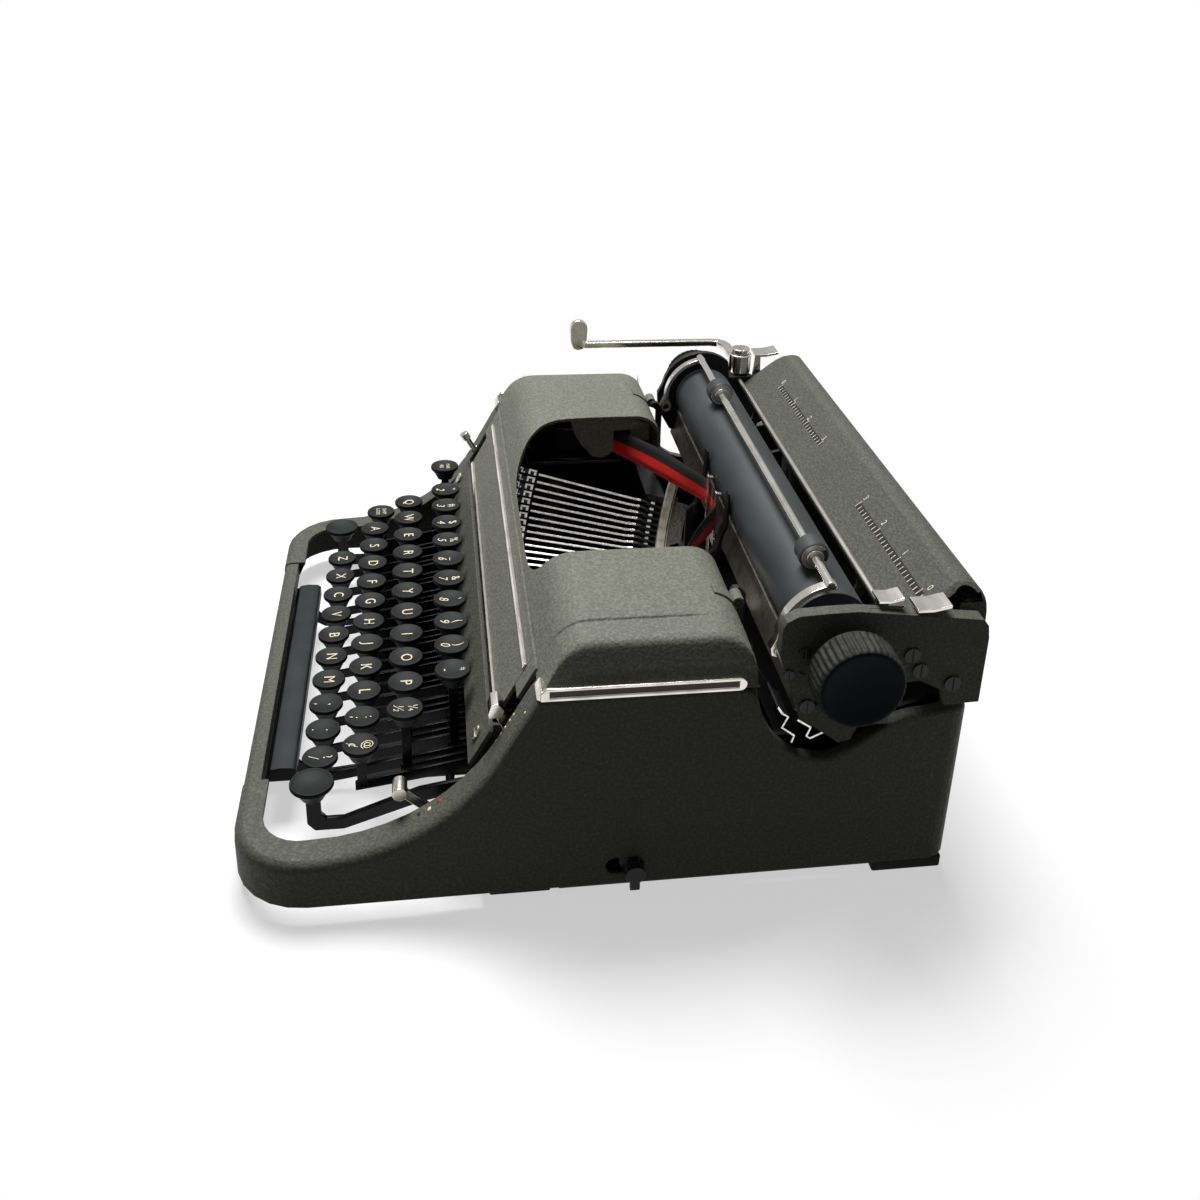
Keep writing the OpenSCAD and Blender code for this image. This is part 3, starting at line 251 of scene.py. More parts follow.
def settled(shape, name):
    """The shape with its modifiers made plain, as a new object at the origin."""
    graph = bpy.context.evaluated_depsgraph_get()
    mesh = bpy.data.meshes.new_from_object(shape.evaluated_get(graph), depsgraph=graph)
    old = shape.data
    bpy.data.objects.remove(shape)
    if old.users == 0 and isinstance(old, bpy.types.Mesh):
        bpy.data.meshes.remove(old)
    done = bpy.data.objects.new(name, mesh)
    scene.collection.objects.link(done)
    return done


def shaded(shape, ease):
    """Smooth faces, sharp edges eased by a narrow round."""
    for face in shape.data.polygons:
        face.use_smooth = True
    if ease:
        edge = shape.modifiers.new("edge", "BEVEL")
        edge.width = ease * MM
        edge.segments = 2
        edge.limit_method = "ANGLE"
        edge.angle_limit = radians(38)
        edge.use_clamp_overlap = False
    lie = shape.modifiers.new("shade", "WEIGHTED_NORMAL")
    lie.keep_sharp = True
    return shape


def placed(piece, body, slot, *nodes):
    """The piece on its body, hiding the solids that it stands for. slot is not used."""
    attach(piece, body)
    if nodes:
        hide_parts(*nodes)
    return piece


def eased(node, finish, ease=0.3, others=(), refine=None):
    """A copy of a solid with its facets merged, its edges eased and its own finish.
    others: (finish, test) pairs for faces of another material. refine: gives a corner its finer place."""
    part = frame["nodes"][node]
    work = bmesh.new()
    work.from_mesh(part.data)
    bmesh.ops.remove_doubles(work, verts=work.verts[:], dist=2e-6)
    bmesh.ops.dissolve_limit(work, angle_limit=radians(0.5), verts=work.verts[:], edges=work.edges[:])
    if refine:
        for corner in work.verts:
            corner.co = Vector(refine(*(corner.co / MM))) * MM
    mesh = bpy.data.meshes.new(node + "_work")
    mesh.materials.append(finish)
    for number, (other, test) in enumerate(others):
        mesh.materials.append(other)
        for face in work.faces:
            if test(face.calc_center_median() / MM):
                face.material_index = number + 1
    work.to_mesh(mesh)
    work.free()
    shape = bpy.data.objects.new(node + "_work", mesh)
    scene.collection.objects.link(shape)
    slots = {entry["node"]: entry["material_slot"] for entry in frame["record"]["subparts"]}
    return placed(settled(shaded(shape, ease), node + "_made"), body_of(part)[0], slots[node], node)


for node, ease in [("body_shell", 0.5), ("front_bar", 0.4), ("front_plate", 0.3)]:
    eased(node, shell_paint, ease)


# Side mouldings: rolled brass strips, nickelled, clipped along the cover's lower edge, with a groove along the
# middle painted dark brown as painted shade and reflection. Feet: moulded black rubber blocks under the corners.
bright_trim, trim_surface, trim_place = new_finish("bright_trim", Metallic=1.0)
rubbed = trim_place.speckle(420.0, 3.0, (0.15, 1.0, 1.0))
tarnish = trim_place.speckle(70.0, 4.0)
tarnish.between(0.42, 0.72).blend(tint(232, 229, 221), tint(196, 191, 180)).feed(trim_surface, "Base Color")
(0.13 + rubbed * 0.12 + tarnish.between(0.5, 0.8) * 0.12).feed(trim_surface, "Roughness")
rubbed.raised(trim_surface, 0.05, 0.0002)
# the groove's dark brown: painted shade and painted reflection inside the nickelled groove
groove_dark, groove_surface, groove_place = new_finish("groove_dark", Roughness=0.4, Specular_IOR_Level=0.4)
groove_place.speckle(160.0, 3.0).blend(tint(52, 38, 30), tint(20, 17, 16)).feed(groove_surface, "Base Color")
trim_z, trim_face, groove_half = 99.9, 146.8, 1.45
eased("side_trims", bright_trim, 0.35,
      [(groove_dark, lambda c: abs(c.z - trim_z) < groove_half and abs(abs(c.x) - trim_face) < 0.2)])

foot_rubber, foot_surface, foot_place = new_finish("foot_rubber", Specular_IOR_Level=0.25)
foot_wear = foot_place.speckle(240.0, 4.0)
foot_wear.between(0.4, 0.8).blend(tint(22, 21, 20), tint(46, 44, 41)).feed(foot_surface, "Base Color")
(0.7 + foot_wear * 0.2).feed(foot_surface, "Roughness")
foot_wear.raised(foot_surface, 0.3, 0.0004)
eased("rubber_feet", foot_rubber, 1.0)


# Inner works: the stamped and black enamelled frame with its comb, rest and spool pans, a thin bottom plate
# under the levers with a black shelf under the slit behind the front bar, a dark sheet standing for the shade
# there, and the plain turned steel parts: fulcrum rod, bell, mainspring drum and slotted screws.
def worn(name, patches, spread, colours, rough, grain=None, **constants):
    """A finish whose colour and gloss drift in patches of a scale and detail. spread: where the drift starts
    and ends. rough: the least roughness and what the drift adds. grain: a relief's scale, strength, depth."""
    finish, surface, place = new_finish(name, **constants)
    drift = place.speckle(*patches)
    drift.between(*spread).blend(*colours).feed(surface, "Base Color")
    (rough[0] + drift * rough[1]).feed(surface, "Roughness")
    if grain:
        place.speckle(grain[0]).raised(surface, grain[1], grain[2])
    return finish


black_enamel = worn("black_enamel", (60.0, 4.0), (0.45, 0.75), (tint(12, 12, 13), tint(22, 22, 22)),
                    (0.3, 0.25), (900.0, 0.12, 0.0003), Specular_IOR_Level=0.3)
type_steel, steel_surface, steel_place = new_finish("type_steel", Metallic=1.0)
drawn = steel_place.speckle(900.0, 2.0, (1.0, 0.1, 1.0))
stain = steel_place.speckle(90.0, 4.0)
stain.between(0.4, 0.75).blend(tint(206, 203, 196), tint(150, 146, 138)).feed(steel_surface, "Base Color")
(0.24 + drawn * 0.14 + stain.between(0.5, 0.8) * 0.15).feed(steel_surface, "Roughness")
drawn.raised(steel_surface, 0.08, 0.0002)


def stamped(outline, x0, x1):
    """A flat stamping: its outline in y and z, its thickness along x, all in millimetres."""
    work = bmesh.new()
    spots = [work.verts.new((x0 * MM, y * MM, z * MM)) for y, z in outline]
    face = work.faces.new(spots)
    grown_out = bmesh.ops.extrude_face_region(work, geom=[face])
    bmesh.ops.translate(work, vec=((x1 - x0) * MM, 0, 0),
                        verts=[v for v in grown_out["geom"] if isinstance(v, bmesh.types.BMVert)])
    bmesh.ops.recalc_face_normals(work, faces=work.faces[:])
    return work


def cut_block(low, high):
    """A small block between two corners, in millimetres."""
    (x0, y0, z0), (x1, y1, z1) = low, high
    return stamped([(y0, z0), (y1, z0), (y1, z1), (y0, z1)], x0, x1)


def joined(parts, name):
    """Several meshes in the making as one object."""
    whole = bpy.data.meshes.new(name)
    total = bmesh.new()
    for part in parts:
        step = bpy.data.meshes.new("step")
        part.to_mesh(step)
        part.free()
        total.from_mesh(step)
        bpy.data.meshes.remove(step)
    total.to_mesh(whole)
    total.free()
    shape = bpy.data.objects.new(name, whole)
    scene.collection.objects.link(shape)
    return shape


def coated(piece, *finishes):
    """The piece with these finishes and no other."""
    piece.data.materials.clear()
    for finish in finishes:
        piece.data.materials.append(finish)
    return piece


def fitted(parts, name, finish, ease, body, slot, *nodes):
    """Parts joined into one eased piece with one finish, on its body."""
    piece = settled(shaded(joined(parts, name), ease), name)
    return placed(coated(piece, finish), body, slot, *nodes)


for node in ["chassis", "key_comb", "typebar_rest", "card_fingers", "ribbon_cups", "carriage_bed",
             "lift_rail"]:
    eased(node, black_enamel, 0.25)
# the shelf: a black sheet under the slit between the space bar and the front bar, painted shade
plate_z, shade_shelf_z, plate_thick = 3.0, 6.0, 0.6
plate_spans = [(-143, -18, 143, 112, plate_z), (-130, 112, 130, 140, plate_z), (-121, -97, 68, -18, plate_z),
               (-99, -144.2, 66, -134.6, shade_shelf_z)]
plate_parts = [cut_block((x0, y0, z), (x1, y1, z + plate_thick)) for x0, y0, x1, y1, z in plate_spans]
placed(coated(joined(plate_parts, "bottom_plate"), black_enamel), "frame", "black_frame")
for node in ["fulcrum_rod", "bell", "mainspring_drum", "frame_screws"]:
    eased(node, type_steel, 0.12)


# Type segment: a milled and blued steel arc with one slot for each typebar, between a ground band and a cast
# plate, screwed to the frame by a lug at each side. The band's pale colour is a painted reflection of the lamp.
# Each typebar hangs on the pivot wire in its slot.
# pale, half-metallic steel whose colour stands for its reflection of the lamp: painted reflection
ground_steel = worn("ground_steel", (260.0, 4.0), (0.4, 0.75), (tint(226, 220, 202), tint(176, 168, 148)),
                    (0.34, 0.2), Metallic=0.45)
cast_grey = worn("cast_grey", (900.0, 4.0), (0.35, 0.7), (tint(112, 110, 100), tint(66, 64, 58)),
                 (0.45, 0.25), Specular_IOR_Level=0.4)
type_nickel = worn("type_nickel", (700.0, 3.0), (0.4, 0.7), (tint(240, 238, 232), tint(200, 196, 188)),
                   (0.16, 0.16), Metallic=1.0)
# blued steel for the segment, also used on the typebar sides as painted shade
blued_and_bar_shade, blued_and_shade_surface, blued_and_shade_place = new_finish("blued_steel", Specular_IOR_Level=0.5)
blued_and_shade_place.speckle(200.0, 3.0).blend(tint(12, 12, 13), tint(26, 26, 27)).feed(blued_and_shade_surface, "Base Color")
(0.3 + blued_and_shade_place.speckle(400.0) * 0.2).feed(blued_and_shade_surface, "Roughness")
eased("segment", blued_and_bar_shade, 0.12)

basket_y, basket_z, basket_radius, basket_half = 62.8, 107.7, 70.8, 57.5
basket_tilt, basket_fan = 20.0, 12.8
bar_count, working_bar = 42, 21


def arc_strip(inner, outer, near, deep, half, steps=48):
    """Part of a ring about the basket's own axis: two radii, two depths along the axis, half its angle."""
    work = bmesh.new()
    columns = []
    for k in range(steps + 1):
        a = radians(-half + 2 * half * k / steps)
        columns.append([work.verts.new((r * sin(a) * MM, y * MM, -r * cos(a) * MM))
                        for r, y in ((inner, near), (outer, near), (outer, deep), (inner, deep))])
    for one, two in zip(columns, columns[1:]):
        for k in range(4):
            n = (k + 1) % 4
            work.faces.new([one[k], one[n], two[n], two[k]])
    work.faces.new(columns[0])
    work.faces.new(columns[-1])
    bmesh.ops.recalc_face_normals(work, faces=work.faces[:])
    bmesh.ops.transform(work, matrix=Matrix.Translation((0, basket_y * MM, basket_z * MM))
                        @ Matrix.Rotation(radians(-basket_tilt), 4, "X"), verts=work.verts[:])
    return work


for strip_name, finish, strips in [
        ("segment_band", ground_steel, [(63.8, 66.4, 5.8, 9.9, 71), (64.9, 66.4, 10.7, 11.4, 71)]),
        ("segment_plate", cast_grey, [(65.5, 67.0, 9.9, 10.7, 70.5), (65.2, 68.0, 11.4, 13.2, 63),
                                      (65.2, 68.0, 13.2, 19.6, 61)])]:
    fitted([arc_strip(*one) for one in strips], strip_name, finish, 0.15, "frame", "type_steel")

# one bar along -y from its pivot: sides painted dark as painted shade between the close-set bars, a ground
# upper edge, and a slug with two raised characters
bar_parts = [
    stamped([(3.2, -2.4), (3.2, 1.6), (1.6, 2.6), (-4, 2.8), (-10, 1.4), (-38, 1.15), (-60, 1.1), (-63, 0.6),
             (-63, -1.2), (-58, -1.6), (-36, -1.8), (-12, -2.0), (-4, -3.6)], -0.62, 0.62),
    stamped([(-73, -1.2), (-72.4, -1.6), (-62.2, -1.6), (-61.5, -0.9), (-61.5, 2.2), (-62.3, 3.0),
             (-72.2, 3.0), (-73, 2.2)], -1.3, 1.3)]
edge_parts = [
    stamped([(-5, 3.3), (-10, 2.0), (-38, 1.75), (-61, 1.7), (-61, 1.0), (-38, 1.1), (-10, 1.35), (-5, 2.6)],
            -0.6, 0.6),
    cut_block((-0.7, 0.4, 2.2), (0.7, 2.6, 3.7))]
character_low, character_high = 2.6, 3.9
for x0, y0, x1, y1 in [(-1.45, -72.8, 1.45, -71.7), (-1.45, -70.6, 1.45, -69.6), (-1.45, -71.8, -0.5, -70.5),
                       (0.6, -69.7, 1.45, -68.4), (-1.45, -66.6, -0.4, -62.2), (-0.5, -66.6, 1.45, -65.4),
                       (-0.5, -63.6, 1.45, -62.2)]:
    edge_parts.append(cut_block((x0, y0, character_low), (x1, y1, character_high)))
bar_patterns = []
for parts, label in ((bar_parts, "bar_pattern"), (edge_parts, "edge_pattern")):
    pattern = joined(parts, label)
    pattern.data.transform(Matrix.Translation((0, 0, -basket_radius * MM))
                           @ Matrix.Rotation(radians(basket_fan), 4, "X"))
    bar_patterns.append(settled(shaded(pattern, 0.14), label))


def grown_tree(name, inputs):
    """An empty geometry tree with these named inputs, and a short way to add nodes to it."""
    tree = bpy.data.node_groups.new(name, "GeometryNodeTree")
    tree.interface.new_socket("Geometry", in_out="INPUT", socket_type="NodeSocketGeometry")
    for label, kind in inputs:
        tree.interface.new_socket(label, in_out="INPUT", socket_type="NodeSocket" + kind)
    tree.interface.new_socket("Geometry", in_out="OUTPUT", socket_type="NodeSocketGeometry")
    given = tree.nodes.new("NodeGroupInput")

    def add(kind, settings=None, **sockets):
        made = tree.nodes.new(kind)
        for key, value in (settings or {}).items():
            setattr(made, key, value)
        for key, value in sockets.items():
            spot = made.inputs[int(key[1:])] if key[0] == "_" else made.inputs[key.replace("_", " ")]
            if isinstance(value, bpy.types.NodeSocket):
                tree.links.new(value, spot)
            else:
                spot.default_value = value
        return made

    return tree, given.outputs, add


def points_at(spots):
    """A host that holds only these points, in millimetres."""
    mesh = bpy.data.meshes.new("spots")
    mesh.from_pydata([tuple(v * MM for v in spot) for spot in spots], [], [])
    host = bpy.data.objects.new("spots", mesh)
    scene.collection.objects.link(host)
    return host


def grown(host, tree, name, **values):
    """Runs a tree on the host with these inputs and gives the plain mesh."""
    run = host.modifiers.new("grow", "NODES")
    run.node_group = tree
    for item in tree.interface.items_tree:
        if item.item_type == "SOCKET" and item.in_out == "INPUT" and item.name.replace(" ", "_") in values:
            run[item.identifier] = values[item.name.replace(" ", "_")]
    return settled(host, name)


fan_tree, fan_in, fan_add = grown_tree("typebar_fan", [
    ("Bar", "Object"), ("Count", "Int"), ("Half Angle", "Float"), ("Tilt", "Float"), ("Centre", "Vector"),
    ("Apart", "Int"), ("Only Apart", "Bool"), ("Finish", "Material")])
fan_points = fan_add("GeometryNodePoints", Count=fan_in["Count"])
fan_index = fan_add("GeometryNodeInputIndex")
fan_gaps = fan_add("ShaderNodeMath", {"operation": "SUBTRACT"}, _0=fan_in["Count"], _1=1.0)
fan_step = fan_add("ShaderNodeMath", {"operation": "DIVIDE"}, _0=fan_in["Half Angle"], _1=fan_gaps.outputs[0])
fan_back = fan_add("ShaderNodeMath", {"operation": "MULTIPLY"}, _0=fan_index.outputs[0],
                   _1=fan_step.outputs[0])
fan_twice = fan_add("ShaderNodeMath", {"operation": "MULTIPLY"}, _0=fan_back.outputs[0], _1=-2.0)
fan_angle = fan_add("ShaderNodeMath", {"operation": "ADD"}, _0=fan_in["Half Angle"], _1=fan_twice.outputs[0])
fan_turn = fan_add("ShaderNodeCombineXYZ", Y=fan_angle.outputs[0])
fan_euler = fan_add("FunctionNodeEulerToRotation", Euler=fan_turn.outputs[0])
fan_other = fan_add("FunctionNodeCompare", {"data_type": "INT", "operation": "NOT_EQUAL"},
                    _2=fan_index.outputs[0], _3=fan_in["Apart"])
fan_pick = fan_add("FunctionNodeBooleanMath", {"operation": "XOR"}, _0=fan_other.outputs[0],
                   _1=fan_in["Only Apart"])
fan_bar = fan_add("GeometryNodeObjectInfo", Object=fan_in["Bar"])
fan_set = fan_add("GeometryNodeInstanceOnPoints", Points=fan_points.outputs[0], Selection=fan_pick.outputs[0],
                  Instance=fan_bar.outputs["Geometry"], Rotation=fan_euler.outputs[0])
fan_lean = fan_add("ShaderNodeCombineXYZ", X=fan_in["Tilt"])
fan_made = fan_add("GeometryNodeRealizeInstances", Geometry=fan_set.outputs[0])
fan_place = fan_add("GeometryNodeTransform", Geometry=fan_made.outputs[0], Translation=fan_in["Centre"],
                    Rotation=fan_lean.outputs[0])
fan_coat = fan_add("GeometryNodeSetMaterial", Geometry=fan_place.outputs[0], Material=fan_in["Finish"])
fan_add("NodeGroupOutput", Geometry=fan_coat.outputs[0])

for piece_name, node, alone in [("resting_bars", "typebars", False), ("working_bar", "type_bar", True)]:
    # bar sides in the blued finish as painted shade; upper edges and characters in nickel
    for pattern, finish, ending in zip(bar_patterns, (blued_and_bar_shade, type_nickel), ("_sides", "_edges")):
        bars = grown(points_at([(0, 0, 0)]), fan_tree, piece_name + ending, Bar=pattern, Count=bar_count,
                     Half_Angle=radians(basket_half), Tilt=radians(-basket_tilt), Apart=working_bar,
                     Centre=(0, basket_y * MM, basket_z * MM), Only_Apart=alone, Finish=finish)
        placed(bars, body_of(frame["nodes"][node])[0], "type_steel", node)
for pattern in bar_patterns:
    bpy.data.objects.remove(pattern)


# Key banks: pressed steel levers blackened by heat, each with a dished plastic key top moulded on its
# post. The tops taper downwards, and the letters are filled with cream colour.
key_pitch, middle_step, key_radius, key_depth, key_dish = 19.05, 4.625, 7.5, 7.4, 1.1
row_y, row_z = [-57.7, -77.7, -96.4, -114.1], [71.0, 59.6, 46.3, 33.9]
row_first = [0, -0.5, -0.25, 0.25]
typing_row, typing_place = 2, 5


def moulded(name, gloss, scale, level_from, spread, colours, rough, grain):
    """A black moulding: level faces painted greyer as painted light from above, the rest near black as painted
    shade. level_from: how level a face is to be the top.
    """
    finish, surface, place = new_finish(name, Specular_IOR_Level=gloss)
    drift = place.speckle(scale, 4.0)
    facing = place.node("ShaderNodeNewGeometry", out="Normal")
    # faces that look up are painted grey as painted light, the sides near black as painted shade
    top = place.node("ShaderNodeSeparateXYZ", out="Z", sockets={0: facing}).between(*level_from)
    top.blend(tint(7, 8, 9), drift.between(*spread).blend(*colours)).feed(surface, "Base Color")
    (rough[0] + drift * rough[1]).feed(surface, "Roughness")
    place.speckle(grain).raised(surface, 0.06, 0.0002)
    return finish


key_plastic = moulded("key_plastic", 0.1, 110.0, (0.75, 0.95), (0.35, 0.7),
                      (tint(26, 28, 28), tint(36, 39, 39)), (0.42, 0.2), 1500.0)
lever_black = worn("lever_black", (300.0, 3.0), (0.45, 0.8), (tint(5, 6, 7), tint(13, 14, 15)), (0.2, 0.16),
                   Specular_IOR_Level=0.18)
cream_fill = worn("cream_fill", (900.0, 3.0), (0.35, 0.75), (tint(228, 217, 186), tint(196, 181, 146)),
                  (0.6, 0.2), Specular_IOR_Level=0.2)


def turned(profile, rings=32):
    """A round piece turned about z from radius and height pairs, in millimetres."""
    work = bmesh.new()
    circles = []
    for radius, height in profile:
        if radius < 1e-6:
            circles.append([work.verts.new((0, 0, height * MM))])
        else:
            circles.append([work.verts.new((radius * cos(2 * pi * k / rings) * MM,
                                            radius * sin(2 * pi * k / rings) * MM, height * MM))
                            for k in range(rings)])
    for one, two in zip(circles, circles[1:]):
        for k in range(rings):
            n = (k + 1) % rings
            spots = [one[k % len(one)], one[n % len(one)], two[n % len(two)], two[k % len(two)]]
            spots = [s for i, s in enumerate(spots) if s not in spots[:i]]
            work.faces.new(spots)
    bmesh.ops.recalc_face_normals(work, faces=work.faces[:])
    return work


def key_top(radius, depth, dish, waist, name):
    """One key top at the origin: dished face, rounded rim, tapered skirt."""
    profile = [(0, -dish), (radius * 0.3, -dish * 0.92), (radius * 0.55, -dish * 0.72),
               (radius - 1.6, -dish * 0.36), (radius - 0.9, -0.08), (radius - 0.55, 0), (radius - 0.2, -0.14),
               (radius, -0.5), (radius, -1.6), (radius - 0.25, -2.0), (radius - 0.8, -2.3),
               (radius - waist * 0.6, -depth * 0.6), (radius - waist, -depth), (0, -depth)]
    return settled(shaded(joined([turned(profile)], name), 0), name)


def key_lever(y, z, post_x=0.0):
    """A key's flat lever from its fulcrum to the post under the top."""
    h = 33 + 0.17 * (y + 50)
    outline = [(y - 3, h - 2.5), (y - 3, h + 2), (y - 1.6, h + 2.6), (y + 3, h + 3), (-50, 36), (71, 25.4),
               (78, 25.4), (80, 22), (78, 18.6), (71, 19), (-50, 30)]
    parts = [stamped(outline, -0.6, 0.6),
             cut_block((post_x - 1, y - 2, h - 1), (post_x + 1, y + 2, z - key_depth + 0.6))]
    if post_x:
        parts.append(cut_block((-1, y - 2, h - 1), (post_x + 1, y + 2, h + 3)))
    return settled(shaded(joined(parts, "lever"), 0.18), "lever")


spread_tree, spread_in, spread_add = grown_tree("set_out", [("Pattern", "Object"), ("Finish", "Material")])
spread_info = spread_add("GeometryNodeObjectInfo", Object=spread_in["Pattern"])
spread_set = spread_add("GeometryNodeInstanceOnPoints", Points=spread_in["Geometry"],
                        Instance=spread_info.outputs["Geometry"])
spread_made = spread_add("GeometryNodeRealizeInstances", Geometry=spread_set.outputs[0])
spread_coat = spread_add("GeometryNodeSetMaterial", Geometry=spread_made.outputs[0],
                         Material=spread_in["Finish"])
spread_add("NodeGroupOutput", Geometry=spread_coat.outputs[0])


def set_out(pattern, spots, finish, name, body, node):
    """Copies of a pattern at these points, as one piece on a body."""
    piece = grown(points_at(spots), spread_tree, name, Pattern=pattern, Finish=finish)
    return placed(piece, body, "key_black", node)


def letter_shape(text, size):
    """One word as a flat mesh about the origin, its type size in millimetres."""
    font = bpy.data.curves.new("letter", "FONT")
    font.body = text
    font.size = size * MM
    font.align_x = "CENTER"
    font.align_y = "CENTER"
    font.resolution_u = 3
    shape = bpy.data.objects.new("letter", font)
    scene.collection.objects.link(shape)
    done = settled(shape, "letter")
    bpy.data.curves.remove(font)
    return done


def gathered(shapes, name, finish, body, slot):
    """Loose flat shapes as one piece with one finish, on its body."""
    work = bmesh.new()
    for done in shapes:
        old = done.data
        work.from_mesh(old)
        bpy.data.objects.remove(done)
        bpy.data.meshes.remove(old)
    return placed(coated(joined([work], name), finish), body, slot)


def lettered(words, name, body):
    """Filled letters that lie in the dished key faces. words holds (text, size, x, y, z, lift on the key)."""
    shapes = []
    for text, size, x, y, z, dy in words:
        done = letter_shape(text, size)
        for spot in done.data.vertices:
            px, py = spot.co.x, spot.co.y + dy * MM
            sunk = key_dish * (1 - (hypot(px, py) / ((key_radius - 1.0) * MM)) ** 1.6)
            spot.co = (px + x * MM, py + y * MM, (z - sunk + 0.07) * MM)
        shapes.append(done)
    gathered(shapes, name, cream_fill, body, "key_black")


top_pattern = key_top(key_radius, key_depth, key_dish, 3.4, "top")
legends = [
    [("2", '"'), ("3", "#"), ("4", "$"), ("5", "%"), ("6", "_"), ("7", "&"), ("8", "'"), ("9", "("),
     ("0", ")"), ("-", "*")],
    ["Q", "W", "E", "R", "T", "Y", "U", "I", "O", "P", ("½", "¼")],
    ["A", "S", "D", "F", "G", "H", "J", "K", "L", (";", ":"), ("¢", "@")],
    ["Z", "X", "C", "V", "B", "N", "M", (",", ","), (".", "."), ("/", "?")]]
for row, bank in enumerate(["number", "upper", "home", "lower"]):
    y, z = row_y[row], row_z[row]
    groups = {bank: [], "typing": []}
    words = {bank: [], "typing": []}
    for i, legend in enumerate(legends[row]):
        x = (row_first[row] + i - middle_step) * key_pitch
        group = "typing" if (row, i) == (typing_row, typing_place) else bank
        groups[group].append((x, y, z))
        if isinstance(legend, tuple):
            words[group] += [(legend[0], 6.0, x, y, z, -2.9), (legend[1], 5.6, x, y, z, 3.0)]
        else:
            words[group].append((legend, 7.2, x, y, z, 0))
    lever = key_lever(y, z)
    body, node = bank + "_bank", bank + "_keys"
    set_out(top_pattern, groups[bank], key_plastic, bank + "_tops", body, node)
    set_out(lever, [(x, 0, 0) for x, y, z in groups[bank]], lever_black, bank + "_levers", body, node)
    lettered(words[bank], bank + "_letters", body)
    if groups["typing"]:
        set_out(top_pattern, groups["typing"], key_plastic, "typing_top", "typing_key", "type_key")
        set_out(lever, [(x, 0, 0) for x, y, z in groups["typing"]], lever_black, "typing_lever", "typing_key",
                "type_key")
        lettered(words["typing"], "typing_letter", "typing_key")
    bpy.data.objects.remove(lever)


# Space bar and function keys: the bar is a long plastic moulding on two steel arms. The shift keys sit
# on bent arms joined by a rod, and the lock and margin keys carry two short words each.
bar_plastic = moulded("bar_plastic", 0.12, 70.0, (0.6, 0.9), (0.4, 0.75),
                      (tint(35, 38, 39), tint(44, 47, 48)), (0.36, 0.22), 1200.0)
space_bar_back = -125.2
eased("spacebar", bar_plastic, 0.5, [(lever_black, lambda c: c.y > space_bar_back)])

shift_xs, shift_key_y, shift_key_z = (107.0, -115.6), -116, 36
shift_top = key_top(9.0, 8.0, 1.4, 4.5, "shift_top")
shift_arm = joined([stamped([
    (-119, 29.5), (-113, 29.5), (-113, 20), (-111, 17.4), (-104, 17.4), (-73, 29.4), (-52, 33), (-40, 34),
    (71, 26), (78, 25.6), (80, 22), (78, 18.4), (71, 19), (43, 22), (42.5, 8), (37.5, 8), (37, 22.6),
    (-40, 27), (-54, 26.6), (-72, 22.6), (-104, 11.4), (-116, 11.4), (-119, 15)], -1.25, 1.25)], "shift_arm")
shift_arm = settled(shaded(shift_arm, 0.5), "shift_arm")
set_out(shift_top, [(x, shift_key_y, shift_key_z) for x in shift_xs], key_plastic, "shift_tops", "shift",
        "shift_keys")
set_out(shift_arm, [(x, 0, 0) for x in shift_xs], lever_black, "shift_arms", "shift", "shift_keys")
rod_length, rod_y, rod_z = shift_xs[0] - shift_xs[1], 40, 9
rod = turned([(0, 0), (1.6, 0), (1.6, rod_length), (0, rod_length)], 20)
bmesh.ops.transform(rod, matrix=Matrix.Translation((shift_xs[1] * MM, rod_y * MM, rod_z * MM))
                    @ Matrix.Rotation(radians(90), 4, "Y"), verts=rod.verts[:])
fitted([rod], "shift_rod", lever_black, 0.15, "shift", "key_black", "shift_keys")

for key_name, body, node, x, y, z, lever_x, (upper, lower) in [
        ("lock", "shift_lock", "shift_lock_key", -108.6, -93.5, 48.5, -111.6, ("SHIFT", "LOCK")),
        ("margin", "margin_release", "margin_key", -108.4, -57.6, 75.5, -108.4, ("MAR", "REL"))]:
    lever = key_lever(y, z, x - lever_x)
    set_out(top_pattern, [(x, y, z)], key_plastic, key_name + "_top", body, node)
    set_out(lever, [(lever_x, 0, 0)], lever_black, key_name + "_lever", body, node)
    lettered([(upper, 2.9, x, y, z, 1.7), (lower, 2.9, x, y, z, -1.7)], key_name + "_letters", body)
    bpy.data.objects.remove(lever)
for pattern in (top_pattern, shift_top, shift_arm):
    bpy.data.objects.remove(pattern)


# Rim levers and the lock stud: bent nickelled strips with bright finger pieces for ribbon colour and
# touch, and a black stud in the right wall that locks the carriage. Painted dots mark their places.
for node in ["ribbon_selector", "touch_lever", "left_lever"]:
    eased(node, bright_trim, 0.3)
eased("lock_stud", black_enamel, 0.4)


def rim_mark(spots, radius, finish, name):
    """Small painted dots on the curved right rim: (x, y, z, slope of the rim there in degrees)."""
    parts = []
    for x, y, z, slope in spots:
        dot = turned([(0, -0.1), (radius, -0.1), (radius * 0.9, 0.06), (0, 0.1)], 16)
        bmesh.ops.transform(dot, matrix=Matrix.Translation((x * MM, y * MM, z * MM))
                            @ Matrix.Rotation(radians(slope), 4, "X"), verts=dot.verts[:])
        parts.append(dot)
    fitted(parts, name, finish, 0, "frame", "wrinkle_paint")


